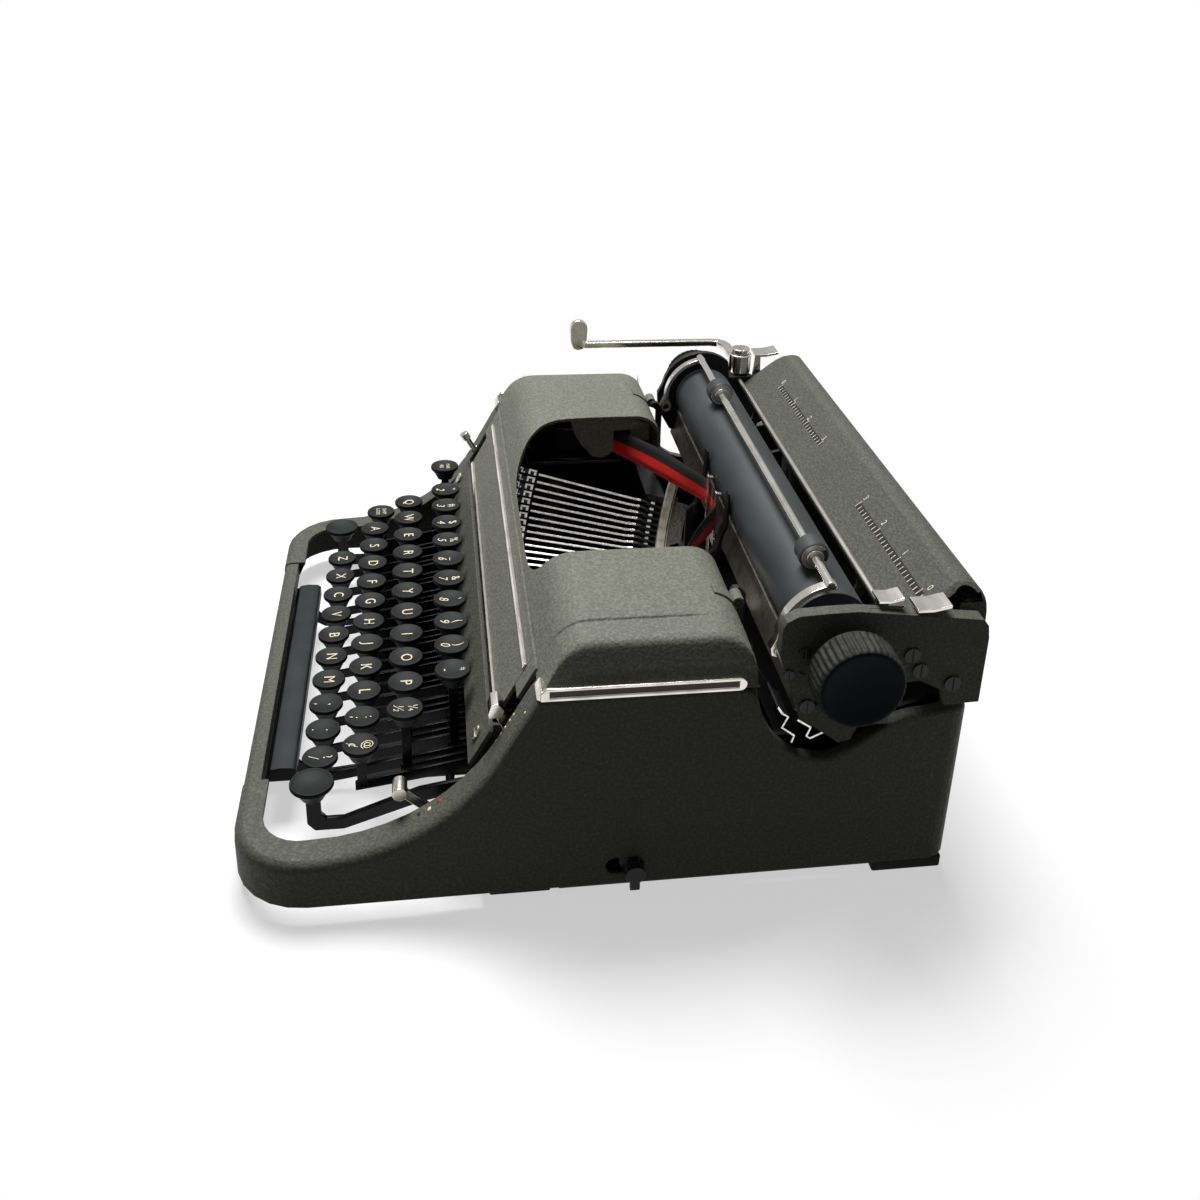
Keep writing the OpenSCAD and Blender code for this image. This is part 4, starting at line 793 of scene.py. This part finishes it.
red_dot, red_surface, red_place = new_finish("red_dot", Roughness=0.5)
red_place.speckle(900.0).blend(tint(150, 40, 38), tint(112, 24, 24)).feed(red_surface, "Base Color")
colour_dot, touch_dot = 1.15, 0.75
rim_mark([(135.1, -72.6, 38.95, 30.6)], colour_dot, black_enamel, "black_mark")
rim_mark([(135.2, -68.5, 41.45, 33.8)], colour_dot, cream_fill, "white_mark")
rim_mark([(134.4, -64.9, 44.25, 37.0)], colour_dot, red_dot, "red_mark")
rim_mark([(132.0, -42.2, 69.55, 59.8), (132.2, -40.4, 72.75, 61), (132.4, -38.7, 75.8, 61),
          (132.6, -36.9, 79.05, 61), (132.8, -35.4, 81.75, 61), (141.0, -31.8, 88.25, 61)],
         touch_dot, cream_fill, "touch_marks")


# Ribbon spools: two blackened steel flanges on a hub, with the wound ribbon between them. Each sits loose
# on the pin of its cup under the cover, so that it can be lifted out.
wound_cloth, wound_surface, wound_place = new_finish("wound_ribbon", Specular_IOR_Level=0.2)
wound_edge = wound_place.node("ShaderNodeTexWave", settings={"wave_type": "RINGS", "rings_direction": "Z"},
                              sockets={"Vector": wound_place, "Scale": 500.0, "Distortion": 1.0})
wound_edge.blend(tint(18, 17, 17), tint(34, 32, 32)).feed(wound_surface, "Base Color")
(0.8 + wound_edge * 0.1).feed(wound_surface, "Roughness")
spool_x, spool_y, hub_radius, wound_radius = 98, 10, 6.1, 13.2
wound_low, wound_high = 92.5, 108.2


def on_winding(c):
    """Tells the faces of the wound ribbon on either spool."""
    out = hypot(abs(c.x) - spool_x, c.y - spool_y)
    return hub_radius < out < wound_radius and wound_low < c.z < wound_high


for node in ("spool_left", "spool_right"):
    eased(node, black_enamel, 0.2, [(wound_cloth, on_winding)])


# Ribbon: a two-colour inked cotton band, 13 mm wide, that stands on edge from spool to spool and
# passes through the carrier in front of the platen. Each half bends between frame and carrier.
ribbon_cloth, ribbon_surface, ribbon_place = new_finish("ribbon_cloth", Specular_IOR_Level=0.2,
                                                        Sheen_Weight=0.15)
ribbon_uv = ribbon_place.node("ShaderNodeTexCoord", out="UV")
ribbon_across = ribbon_place.node("ShaderNodeSeparateXYZ", out="Y", sockets={0: ribbon_uv})
ribbon_weave = ribbon_place.node("ShaderNodeTexWave",
                                 settings={"wave_type": "BANDS", "bands_direction": "DIAGONAL"},
                                 sockets={"Vector": ribbon_uv, "Scale": 260.0, "Distortion": 0.6})
ribbon_inked = ribbon_place.speckle(160.0, 3.0)
red_half = ribbon_inked.blend(tint(255, 34, 18), tint(236, 18, 10))
black_half = ribbon_inked.blend(tint(10, 9, 9), tint(20, 19, 18))
ribbon_across.between(0.0067, 0.0072).blend(red_half, black_half).feed(ribbon_surface, "Base Color")
(0.78 + ribbon_inked * 0.15).feed(ribbon_surface, "Roughness")
ribbon_weave.raised(ribbon_surface, 0.25, 0.0001)

ribbon_paths = {
    "left": [(90.5, 20.9), (73, 35), (56, 47), (40, 56), (30, 60.6), (22, 65.0), (16, 68.2), (10.4, 70.2),
             (0, 70.45)],
    "right": [(86, 4.4), (73, 35), (42, 50), (18, 65.4), (10.4, 70.2), (0, 70.45)]}
ribbon_low, ribbon_high, ribbon_wall = 95.0, 108.0, 0.14
ribbon_lean, upright_end = 0.28, 12


def band(path, side):
    """A thin cloth band on edge along a path of x and y, with its length and width in its UV map."""
    stops = [Vector((side * x, y)) for x, y in path]
    line = []
    for one, two in zip(stops, stops[1:]):
        steps = max(2, int((two - one).length / 4))
        line += [one.lerp(two, k / steps) for k in range(steps)]
    line.append(stops[-1])
    for _ in range(3):
        line = [line[0]] + [(a + 2 * b + c) / 4 for a, b, c in zip(line, line[1:], line[2:])] + [line[-1]]
    work = bmesh.new()
    uv = work.loops.layers.uv.new("length_and_width")
    run, length = [0.0], 0.0
    for one, two in zip(line, line[1:]):
        length += (two - one).length
        run.append(length)
    heights = [ribbon_low + (ribbon_high - ribbon_low) * k / 4 for k in range(5)]
    middle = (ribbon_low + ribbon_high) / 2
    columns = []
    for p, along in zip(line, run):
        free = length - upright_end
        back_off = ribbon_lean * sin(pi * along / free) ** 2 if along < free else 0.0
        columns.append([work.verts.new((p.x * MM, (p.y + 0.25 + back_off * (h - middle)) * MM, h * MM))
                        for h in heights])
    for i, (one, two) in enumerate(zip(columns, columns[1:])):
        for k in range(4):
            face = work.faces.new([one[k], two[k], two[k + 1], one[k + 1]])
            marks = [(run[i], heights[k]), (run[i + 1], heights[k]), (run[i + 1], heights[k + 1]),
                     (run[i], heights[k + 1])]
            for loop, (along, across) in zip(face.loops, marks):
                loop[uv].uv = (along * MM, (across - ribbon_low) * MM)
    mesh = bpy.data.meshes.new("band")
    work.to_mesh(mesh)
    work.free()
    mesh.materials.append(ribbon_cloth)
    shape = bpy.data.objects.new("band", mesh)
    scene.collection.objects.link(shape)
    wall = shape.modifiers.new("wall", "SOLIDIFY")
    wall.thickness = ribbon_wall * MM
    wall.offset = 0.0
    for face in mesh.polygons:
        face.use_smooth = True
    return shape, length * MM


for side, label in ((-1, "left"), (1, "right")):
    shape, length = band(ribbon_paths[label], side)
    half = settled(shape, "ribbon_" + label)
    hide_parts("ribbon")
    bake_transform(half, "frame", "ribbon_carrier", start=(side * 0.06, 0.04, 0.1), end=(side * 0.011, 0.07, 0.1))
eased("vibrator", bright_trim, 0.15)


# Top cover: a pressed steel lid over both spools, in the same wrinkle paint as the shell, open over the type
# basket and hung on two hinge barrels at the rear; the shell's copy of the paint is darker, as painted shade.
# Bright strips edge the bare name panel, each moulding ends in a bend round the corner, and two tongues close
# the opening's sides.
wrinkle_paint = wrinkled("wrinkle_paint", 0.22, 0.32, tint(88, 89, 80), tint(116, 117, 106))
cover_low, cover_half, cover_wall = 97.0, 146.0, 2.0
foot_y, foot_z = -26.94, 97.06
crown_y, crown_z, crown_radius = -5.88, 102, 16
back_y, back_z, back_radius = 42.5, 104, 14


def arc(y, z, radius, angles):
    """Points on an arc about y and z, at these angles in degrees."""
    return [(y + radius * cos(radians(a)), z + radius * sin(radians(a))) for a in angles]


cover_line = [(foot_y + 7.07 * k / 6, foot_z + 12.7 * k / 6) for k in range(6)]
cover_line += arc(crown_y, crown_z, crown_radius, [151 - 6.1 * k for k in range(11)])
cover_line += [(crown_y + (back_y - crown_y) * k / 8, crown_z + crown_radius) for k in range(1, 8)]
cover_line += arc(back_y, back_z, back_radius, [90 - 10 * k for k in range(10)])
cover_line.append((back_y + back_radius, foot_z))


def cover_rib(y, z):
    """Half of the cover's section at y, from its lower edge inwards: leaning side, crease, pressed step."""
    tall = z - cover_low
    full = min(1.0, tall / 21)
    step = min(1.0, max(0.0, (z - 104) / 9)) * min(1.0, max(0.0, (50 - y) / 18))
    inset = [(0, tall), (0, 15 * full), (2.4 * full, 10.4 * full), (4.6 * full, 6.0 * full),
             (5.7 * full, 3.7 * full), (6.7 * full, 2.4 * full), (8.2 * full, 1.55 * full),
             (10.6 * full, 1.1 * full), (20.3, 0.9 * step), (20.8, 0.75 * step), (21.3, 0.12 * step),
             (22.2, 0), (60, 0), (cover_half, 0)]
    return [(cover_half - across, z - down) for across, down in inset]


cover_work = bmesh.new()
ribs = []
for y, z in cover_line:
    half = cover_rib(y, z)
    around = half + [(-x, h) for x, h in reversed(half[:-1])]
    ribs.append([cover_work.verts.new((x * MM, y * MM, h * MM)) for x, h in around])
for one, two in zip(ribs, ribs[1:]):
    for k in range(len(one) - 1):
        cover_work.faces.new([one[k], two[k], two[k + 1], one[k + 1]])
bmesh.ops.remove_doubles(cover_work, verts=cover_work.verts[:], dist=1e-6)
bmesh.ops.recalc_face_normals(cover_work, faces=cover_work.faces[:])
cover_skin = joined([cover_work], "cover_skin")
if sum(face.normal.z * face.area for face in cover_skin.data.polygons) < 0:
    cover_skin.data.flip_normals()
sheet_wall = cover_skin.modifiers.new("sheet", "SOLIDIFY")
sheet_wall.thickness = cover_wall * MM
sheet_wall.offset = -1.0

opening_line = [(71, 70), (71, 4), (71.4, -6), (71.4, -14), (70, -19), (65, -22), (56, -23.8), (40, -24.2),
                (0, -24.2), (-34, -23.6), (-49, -17.5), (-59, -10.5), (-66, -4), (-71, 5), (-71, 70)]
for _ in range(2):
    eased_line = [opening_line[0]]
    for (x0, y0), (x1, y1) in zip(opening_line, opening_line[1:]):
        eased_line += [(0.75 * x0 + 0.25 * x1, 0.75 * y0 + 0.25 * y1),
                       (0.25 * x0 + 0.75 * x1, 0.25 * y0 + 0.75 * y1)]
    opening_line = eased_line + [opening_line[-1]]
cut_low, cut_high = 80, 140
opening_work = bmesh.new()
opening_face = opening_work.faces.new(
    [opening_work.verts.new((x * MM, y * MM, cut_low * MM)) for x, y in opening_line])
opening_rise = bmesh.ops.extrude_face_region(opening_work, geom=[opening_face])
bmesh.ops.translate(opening_work, vec=(0, 0, (cut_high - cut_low) * MM),
                    verts=[v for v in opening_rise["geom"] if isinstance(v, bmesh.types.BMVert)])
bmesh.ops.recalc_face_normals(opening_work, faces=opening_work.faces[:])
opening_cut = joined([opening_work], "opening_cut")
cut_away = cover_skin.modifiers.new("opening", "BOOLEAN")
cut_away.operation = "DIFFERENCE"
cut_away.solver = "EXACT"
cut_away.object = opening_cut
cover_skin = settled(cover_skin, "cover_skin")
bpy.data.objects.remove(opening_cut)
cover_made = coated(settled(shaded(cover_skin, 0.45), "cover_made"), wrinkle_paint)
placed(cover_made, "cover", "wrinkle_paint", "top_cover")

slope_y, slope_z, slope_run, slope_rise = -43.6, 68.9, 0.4848, 0.8746


def on_slope(along, out):
    """A place on the sloping front: along it from the lower joint, and out of it."""
    return (slope_y + slope_run * along - slope_rise * out, slope_z + slope_rise * along + slope_run * out)


def slope_slab(low, high, inner, outer):
    """The section of a plate that lies on the slope."""
    return [on_slope(low, outer), on_slope(high, outer), on_slope(high, inner), on_slope(low, inner)]


panel_half, panel_end, panel_low, panel_step, panel_high, panel_wall = 119, 128.6, 2.6, 19.8, 35.1, 1.8
panel_parts = [stamped(slope_slab(panel_low, panel_high, -panel_wall, 0), -panel_half, panel_half)]
for x0, x1 in ((panel_half, panel_end), (-panel_end, -panel_half)):
    panel_parts.append(stamped(slope_slab(panel_step, panel_high, -panel_wall, 0), x0, x1))
hinge_y, hinge_z, leaf_width = 56.2, 112.4, 8
leaf_angles = [30, 42, 54, 66, 76]
hinge_leaf = arc(back_y, back_z, back_radius + 0.8, leaf_angles)
hinge_leaf += arc(back_y, back_z, back_radius - 0.8, leaf_angles[::-1])
for x0 in (102, -110):
    panel_parts.append(stamped(hinge_leaf, x0, x0 + leaf_width))
    barrel = turned([(1.4, 0), (2.6, 0), (2.6, leaf_width), (1.4, leaf_width), (1.4, 0)], 24)
    bmesh.ops.transform(barrel, matrix=Matrix.Translation((x0 * MM, hinge_y * MM, hinge_z * MM))
                        @ Matrix.Rotation(radians(90), 4, "Y"), verts=barrel.verts[:])
    panel_parts.append(barrel)
fitted(panel_parts, "cover_panel", wrinkle_paint, 0.3, "cover", "wrinkle_paint", "top_cover")

bend_inner, bend_section = 136.5, slope_slab(32.8, 36.8, -2.6, 0.4)
bends = [stamped(bend_section, x0, x1) for x0, x1 in ((-trim_face, -bend_inner), (bend_inner, trim_face))]
fitted(bends, "trim_bends", bright_trim, 0.5, "cover", "bright_trim")
eased("cover_strips", bright_trim, 0.25)
eased("spool_tongues", wrinkle_paint, 0.3)


# Carriage frame: a painted right end plate with a rolled edge, a black left end plate with the lever post,
# the plain steel rack, and slotted screws. The zigzag ends of the rails show in the shell's rear notch.
end_holes, hole_radius = [(66.5, 106), (121, 110), (104, 120)], 1.7
flange_in, flange_low, flange_back = 144.0, 112.5, 112


def in_end_hole(c):
    return 130 < c.x < 146.5 and any(hypot(c.y - y, c.z - z) < hole_radius for y, z in end_holes)


def narrow_flange(x, y, z):
    """Draws the rolled edge in, apart from the pivot boss on it."""
    boss_y, boss_z = end_holes[2]
    rolled = x < flange_in and z > flange_low and y < flange_back and hypot(y - boss_y, z - boss_z) > 2.4
    return (flange_in if rolled else x, y, z)


# the right end plate in the shell's darkened paint: painted shade
eased("end_plate_right", shell_paint, 0.4, [(type_steel, in_end_hole)], narrow_flange)
post_x, post_y, post_foot, post_radius = -130, 112, 119.02, 5.4
eased("end_plate_left", black_enamel, 0.4,
      [(bright_trim, lambda c: c.z > post_foot and hypot(c.x - post_x, c.y - post_y) < post_radius)])
for node in ["carriage_rack", "ratchet_wheel", "platen_shaft", "margin_stop_left", "margin_stop_right"]:
    eased(node, type_steel, 0.12)
eased("carriage_screws", black_enamel, 0.12)


def folded(line, x0, x1, thick):
    """The flats of a strip bent along a line of y and z, from x0 to x1."""
    over, under = [], []
    for k, (y, z) in enumerate(line):
        ahead = Vector(line[min(k + 1, len(line) - 1)]) - Vector(line[max(k - 1, 0)])
        off = Vector((-ahead.y, ahead.x)).normalized() * thick / 2
        over.append((y + off.x, z + off.y))
        under.append((y - off.x, z - off.y))
    return [stamped([over[k], over[k + 1], under[k + 1], under[k]], x0, x1) for k in range(len(line) - 1)]


rail_lines = [[(66, 85.6), (67.9, 82.6), (70.4, 80.9), (68.3, 76.0), (73.6, 71.8), (72.7, 68.5)],
              [(74.3, 79.2), (80.0, 75.2), (78.6, 71.2), (80.1, 70.0), (85.4, 72.6)]]
rail_in, rail_edge, rail_out, rail_thick = 126.5, 143.4, 143.9, 0.9
for x0, x1, finish, name in [(rail_in, rail_edge, black_enamel, "rail_ends"),
                             (rail_edge, rail_out, type_nickel, "rail_edges")]:
    flats = [flat for line in rail_lines for flat in folded(line, x0, x1, rail_thick)]
    fitted(flats, name, finish, 0.1, "frame", "black_frame")


# Platen and rollers: a hard rubber sleeve on a steel shaft, feed rollers under it and two small rollers
# on the bail rod. The knobs are fluted black plastic pressed on the shaft.
platen_y, platen_z = 88.2, 111.3
platen_rubber = worn("platen_rubber", (55.0, 4.0, (0.4, 1.0, 1.0)), (0.35, 0.75),
                     (tint(40, 43, 45), tint(54, 58, 60)), (0.44, 0.24), (1400.0, 0.06, 0.0002),
                     Specular_IOR_Level=0.35)
for node in ["platen", "feed_roller_front", "feed_roller_rear"]:
    eased(node, platen_rubber, 0.25)
bail_y, bail_z, bail_bush = 85, 133.6, 3.5
eased("bail_rollers", platen_rubber, 0.25,
      [(type_steel, lambda c: hypot(c.y - bail_y, c.z - bail_z) < bail_bush)])

knob_plastic = worn("knob_plastic", (90.0, 4.0), (0.4, 0.75), (tint(3, 9, 11), tint(10, 17, 19)), (0.44, 0.2),
                    (1300.0, 0.05, 0.0002), Specular_IOR_Level=0.05)
knob_rim = worn("knob_rim", (300.0, 4.0), (0.35, 0.75), (tint(47, 47, 44), tint(20, 23, 23)), (0.5, 0.2),
                Specular_IOR_Level=0.15)
eased("knob_left", knob_plastic, 0.2)

# each ring of the right knob: its radius, its height over the inner end and the depth of the flutes there
knob_base, flutes, around = 152, 40, 240
knob_rings = [(6.0, 0, 0), (12.0, 2.0, 0), (16.1, 5.0, 0), (17.0, 6.4, 0.2), (17.1, 7.2, 0.75),
              (17.1, 16.6, 0.75), (16.8, 18.4, 0.55), (16.1, 19.5, 0.2), (15.2, 19.9, 0), (14.2, 19.7, 0),
              (12.0, 18.9, 0), (9.0, 18.1, 0), (5.0, 17.5, 0), (0.0, 17.3, 0)]
first_fluted, last_fluted = 2, 6
knob_work = bmesh.new()
circles = []
for radius, height, depth in knob_rings:
    x = (knob_base + height) * MM
    if radius == 0:
        circles.append([knob_work.verts.new((x, platen_y * MM, platen_z * MM))] * around)
        continue
    ring = []
    for k in range(around):
        a = 2 * pi * k / around
        r = radius - depth * (0.5 - 0.5 * cos(flutes * a))
        ring.append(knob_work.verts.new((x, (platen_y + r * cos(a)) * MM, (platen_z + r * sin(a)) * MM)))
    circles.append(ring)
for step, (one, two) in enumerate(zip(circles, circles[1:])):
    for k in range(around):
        n = (k + 1) % around
        corners = [one[k], one[n], two[n], two[k]] if two[k] is not two[n] else [one[k], one[n], two[k]]
        knob_work.faces.new(corners).material_index = int(first_fluted <= step <= last_fluted)
knob_work.faces.new(circles[0])
bmesh.ops.recalc_face_normals(knob_work, faces=knob_work.faces[:])
knob_made = joined([knob_work], "knob_right_made")
knob_made.data.materials.append(knob_plastic)
knob_made.data.materials.append(knob_rim)
for face in knob_made.data.polygons:
    face.use_smooth = True
placed(knob_made, "roller", "knob_plastic", "knob_right")


# Scales: a slanted steel apron with a ground edge, pale as a painted reflection, and stamped ticks in front of
# the platen, and the painted paper table with two printed rules. Marks are thin ink on the sheet, with plain
# numbers.
dull_steel = worn("dull_steel", (120.0, 4.0), (0.35, 0.75), (tint(92, 88, 80), tint(60, 57, 51)), (0.36, 0.2),
                  (1100.0, 0.06, 0.0002), Metallic=0.7)
eased("front_scale", dull_steel, 0.12)
# the apron's top edge strip, in the pale steel that paints its reflection
edge_outline = [(75.1, 98.9), (76.5, 98.6), (76.7, 99.3), (75.3, 99.7)]
apron_edge = joined([stamped(edge_outline, -121.9, 146.7)], "apron_edge")
placed(coated(apron_edge, ground_steel), "carriage", "type_steel")

notch_wall, notch_back = 131, 132.8


def close_notch(x, y, z):
    """Brings the walls of the notch for the release lever closer to the table's end and front."""
    at_back = abs(y - notch_back) < 0.1
    return (138.9 if abs(x - notch_wall) < 0.4 and y > 117 else x, 130.0 if at_back else y,
            z - 2.26 if at_back else z)


# the paper table in the shell's darkened paint: painted shade
eased("paper_table", shell_paint, 0.5, (), close_notch)

ruled_tree, ruled_in, ruled_add = grown_tree("ruled_marks", [
    ("Count", "Int"), ("Step", "Vector"), ("Width", "Float"), ("Length", "Float"), ("Thick", "Float"),
    ("Long Every", "Int"), ("Long Length", "Float"), ("Finish", "Material")])
ruled_line = ruled_add("GeometryNodeMeshLine", Count=ruled_in["Count"], Offset=ruled_in["Step"])
ruled_index = ruled_add("GeometryNodeInputIndex")
ruled_rest = ruled_add("ShaderNodeMath", {"operation": "MODULO"}, _0=ruled_index.outputs[0],
                       _1=ruled_in["Long Every"])
ruled_long = ruled_add("ShaderNodeMath", {"operation": "LESS_THAN"}, _0=ruled_rest.outputs[0], _1=0.5)
ruled_length = ruled_add("ShaderNodeMix", {"data_type": "FLOAT"}, _0=ruled_long.outputs[0],
                         _2=ruled_in["Length"], _3=ruled_in["Long Length"])
ruled_size = ruled_add("ShaderNodeCombineXYZ", X=ruled_in["Width"], Y=ruled_length.outputs[0],
                       Z=ruled_in["Thick"])
ruled_cube = ruled_add("GeometryNodeMeshCube", Size=(1, 1, 1))
ruled_shift = ruled_add("GeometryNodeTransform", Geometry=ruled_cube.outputs[0], Translation=(0, 0.5, 0))
ruled_set = ruled_add("GeometryNodeInstanceOnPoints", Points=ruled_line.outputs[0],
                      Instance=ruled_shift.outputs[0], Scale=ruled_size.outputs[0])
ruled_made = ruled_add("GeometryNodeRealizeInstances", Geometry=ruled_set.outputs[0])
ruled_coat = ruled_add("GeometryNodeSetMaterial", Geometry=ruled_made.outputs[0], Material=ruled_in["Finish"])
ruled_add("NodeGroupOutput", Geometry=ruled_coat.outputs[0])

pale_ink = worn("pale_ink", (700.0, 3.0), (0.35, 0.7), (tint(226, 220, 200), tint(180, 174, 156)), (0.6, 0.2),
                Specular_IOR_Level=0.2)
dark_ink = worn("dark_ink", (700.0, 3.0), (0.35, 0.7), (tint(26, 25, 24), tint(48, 46, 43)), (0.6, 0.2),
                Specular_IOR_Level=0.2)


def ruled(name, face, x, across, lift, slot, finish, count, step, width, length, thick, every, long_length):
    """A row of marks on a sloping face, from x on, all in millimetres. Every so many is a longer one."""
    marks = grown(points_at([(0, 0, 0)]), ruled_tree, name, Count=count, Step=(step * MM, 0, 0),
                  Width=width * MM, Length=length * MM, Thick=thick * MM, Long_Every=every,
                  Long_Length=long_length * MM, Finish=finish)
    marks.data.transform(face @ Matrix.Translation((x * MM, across * MM, lift * MM)))
    placed(marks, "carriage", slot)


def figures(entries, name, face, size, across, slot, finish):
    """Small printed figures on a sloping face: (text, x) in millimetres."""
    shapes = []
    for text, x in entries:
        done = letter_shape(text, size)
        done.data.transform(face @ Matrix.Translation((x * MM, across * MM, 0.06 * MM)))
        shapes.append(done)
    gathered(shapes, name, finish, "carriage", slot)


def sloping(y0, z0, y1, z1):
    """The place of a sloping face: x along it, y up the slope, z out of it."""
    run = Vector((0, y1 - y0, z1 - z0)).normalized()
    out = Vector((1, 0, 0)).cross(run)
    turn_to = Matrix(((1, 0, 0), run, out)).transposed().to_4x4()
    return Matrix.Translation(Vector((0, y0, z0)) * MM) @ turn_to


table_face = sloping(112.4, 114.6, 134.28, 132.26)
rule_step, rule_depth, figure_across = 3.175, 3.0, 19.6
for label, x0, x1, across, digits in [
        ("left_rule", -90.0, -12.5, 16.6, [("0", -92.0), ("1", -67.0), ("2", -41.4), ("3", -15.6)]),
        ("right_rule", 50.5, 130.0, 15.0, [("3", 50.1), ("2", 74.2), ("1", 100.6), ("0", 128.8)])]:
    low = across - rule_depth / 2
    ruled(label + "_bar", table_face, (x0 + x1) / 2, low, 0.02, "wrinkle_paint", dark_ink, count=1, step=0,
          width=x1 - x0, length=rule_depth, thick=0.05, every=1, long_length=rule_depth)
    ruled(label, table_face, x0, low, 0.04, "wrinkle_paint", pale_ink, count=int((x1 - x0) / rule_step) + 1,
          step=rule_step, width=0.42, length=2.4, thick=0.08, every=8, long_length=3.8)
    figures(digits, label + "_figures", table_face, 4.2, figure_across, "wrinkle_paint", pale_ink)

apron_face = sloping(71.6, 86.0, 75.4, 99.0)
apron_first, letter_step = -116, 2.54
ruled("apron_ticks", apron_face, apron_first, 9.4, 0.02, "type_steel", dark_ink, count=100, step=letter_step,
      width=0.35, length=2.2, thick=0.06, every=5, long_length=3.6)
tens = [(str(n * 10), apron_first + 10 * letter_step * n) for n in range(10)]
figures(tens, "apron_figures", apron_face, 3.0, 6.6, "type_steel", dark_ink)


# Bright carriage fittings: nickelled rods and bent strips that the typist handles, the paper rod, the
# bail, the return lever with its paddle and the two release levers.
def paper_stem_out(x, y, z):
    return (x + 6 if x < 136 else x, y, z)


def release_stem_out(x, y, z):
    return (x + 7.6 if 130 < x < 136 else x, y, z)


for node, ease, refine in [
        ("paper_rod", 0.2, None), ("bail", 0.3, None), ("return_lever", 0.8, None),
        ("paper_release", 0.25, paper_stem_out), ("carriage_release", 0.25, release_stem_out)]:
    eased(node, bright_trim, ease, (), refine)
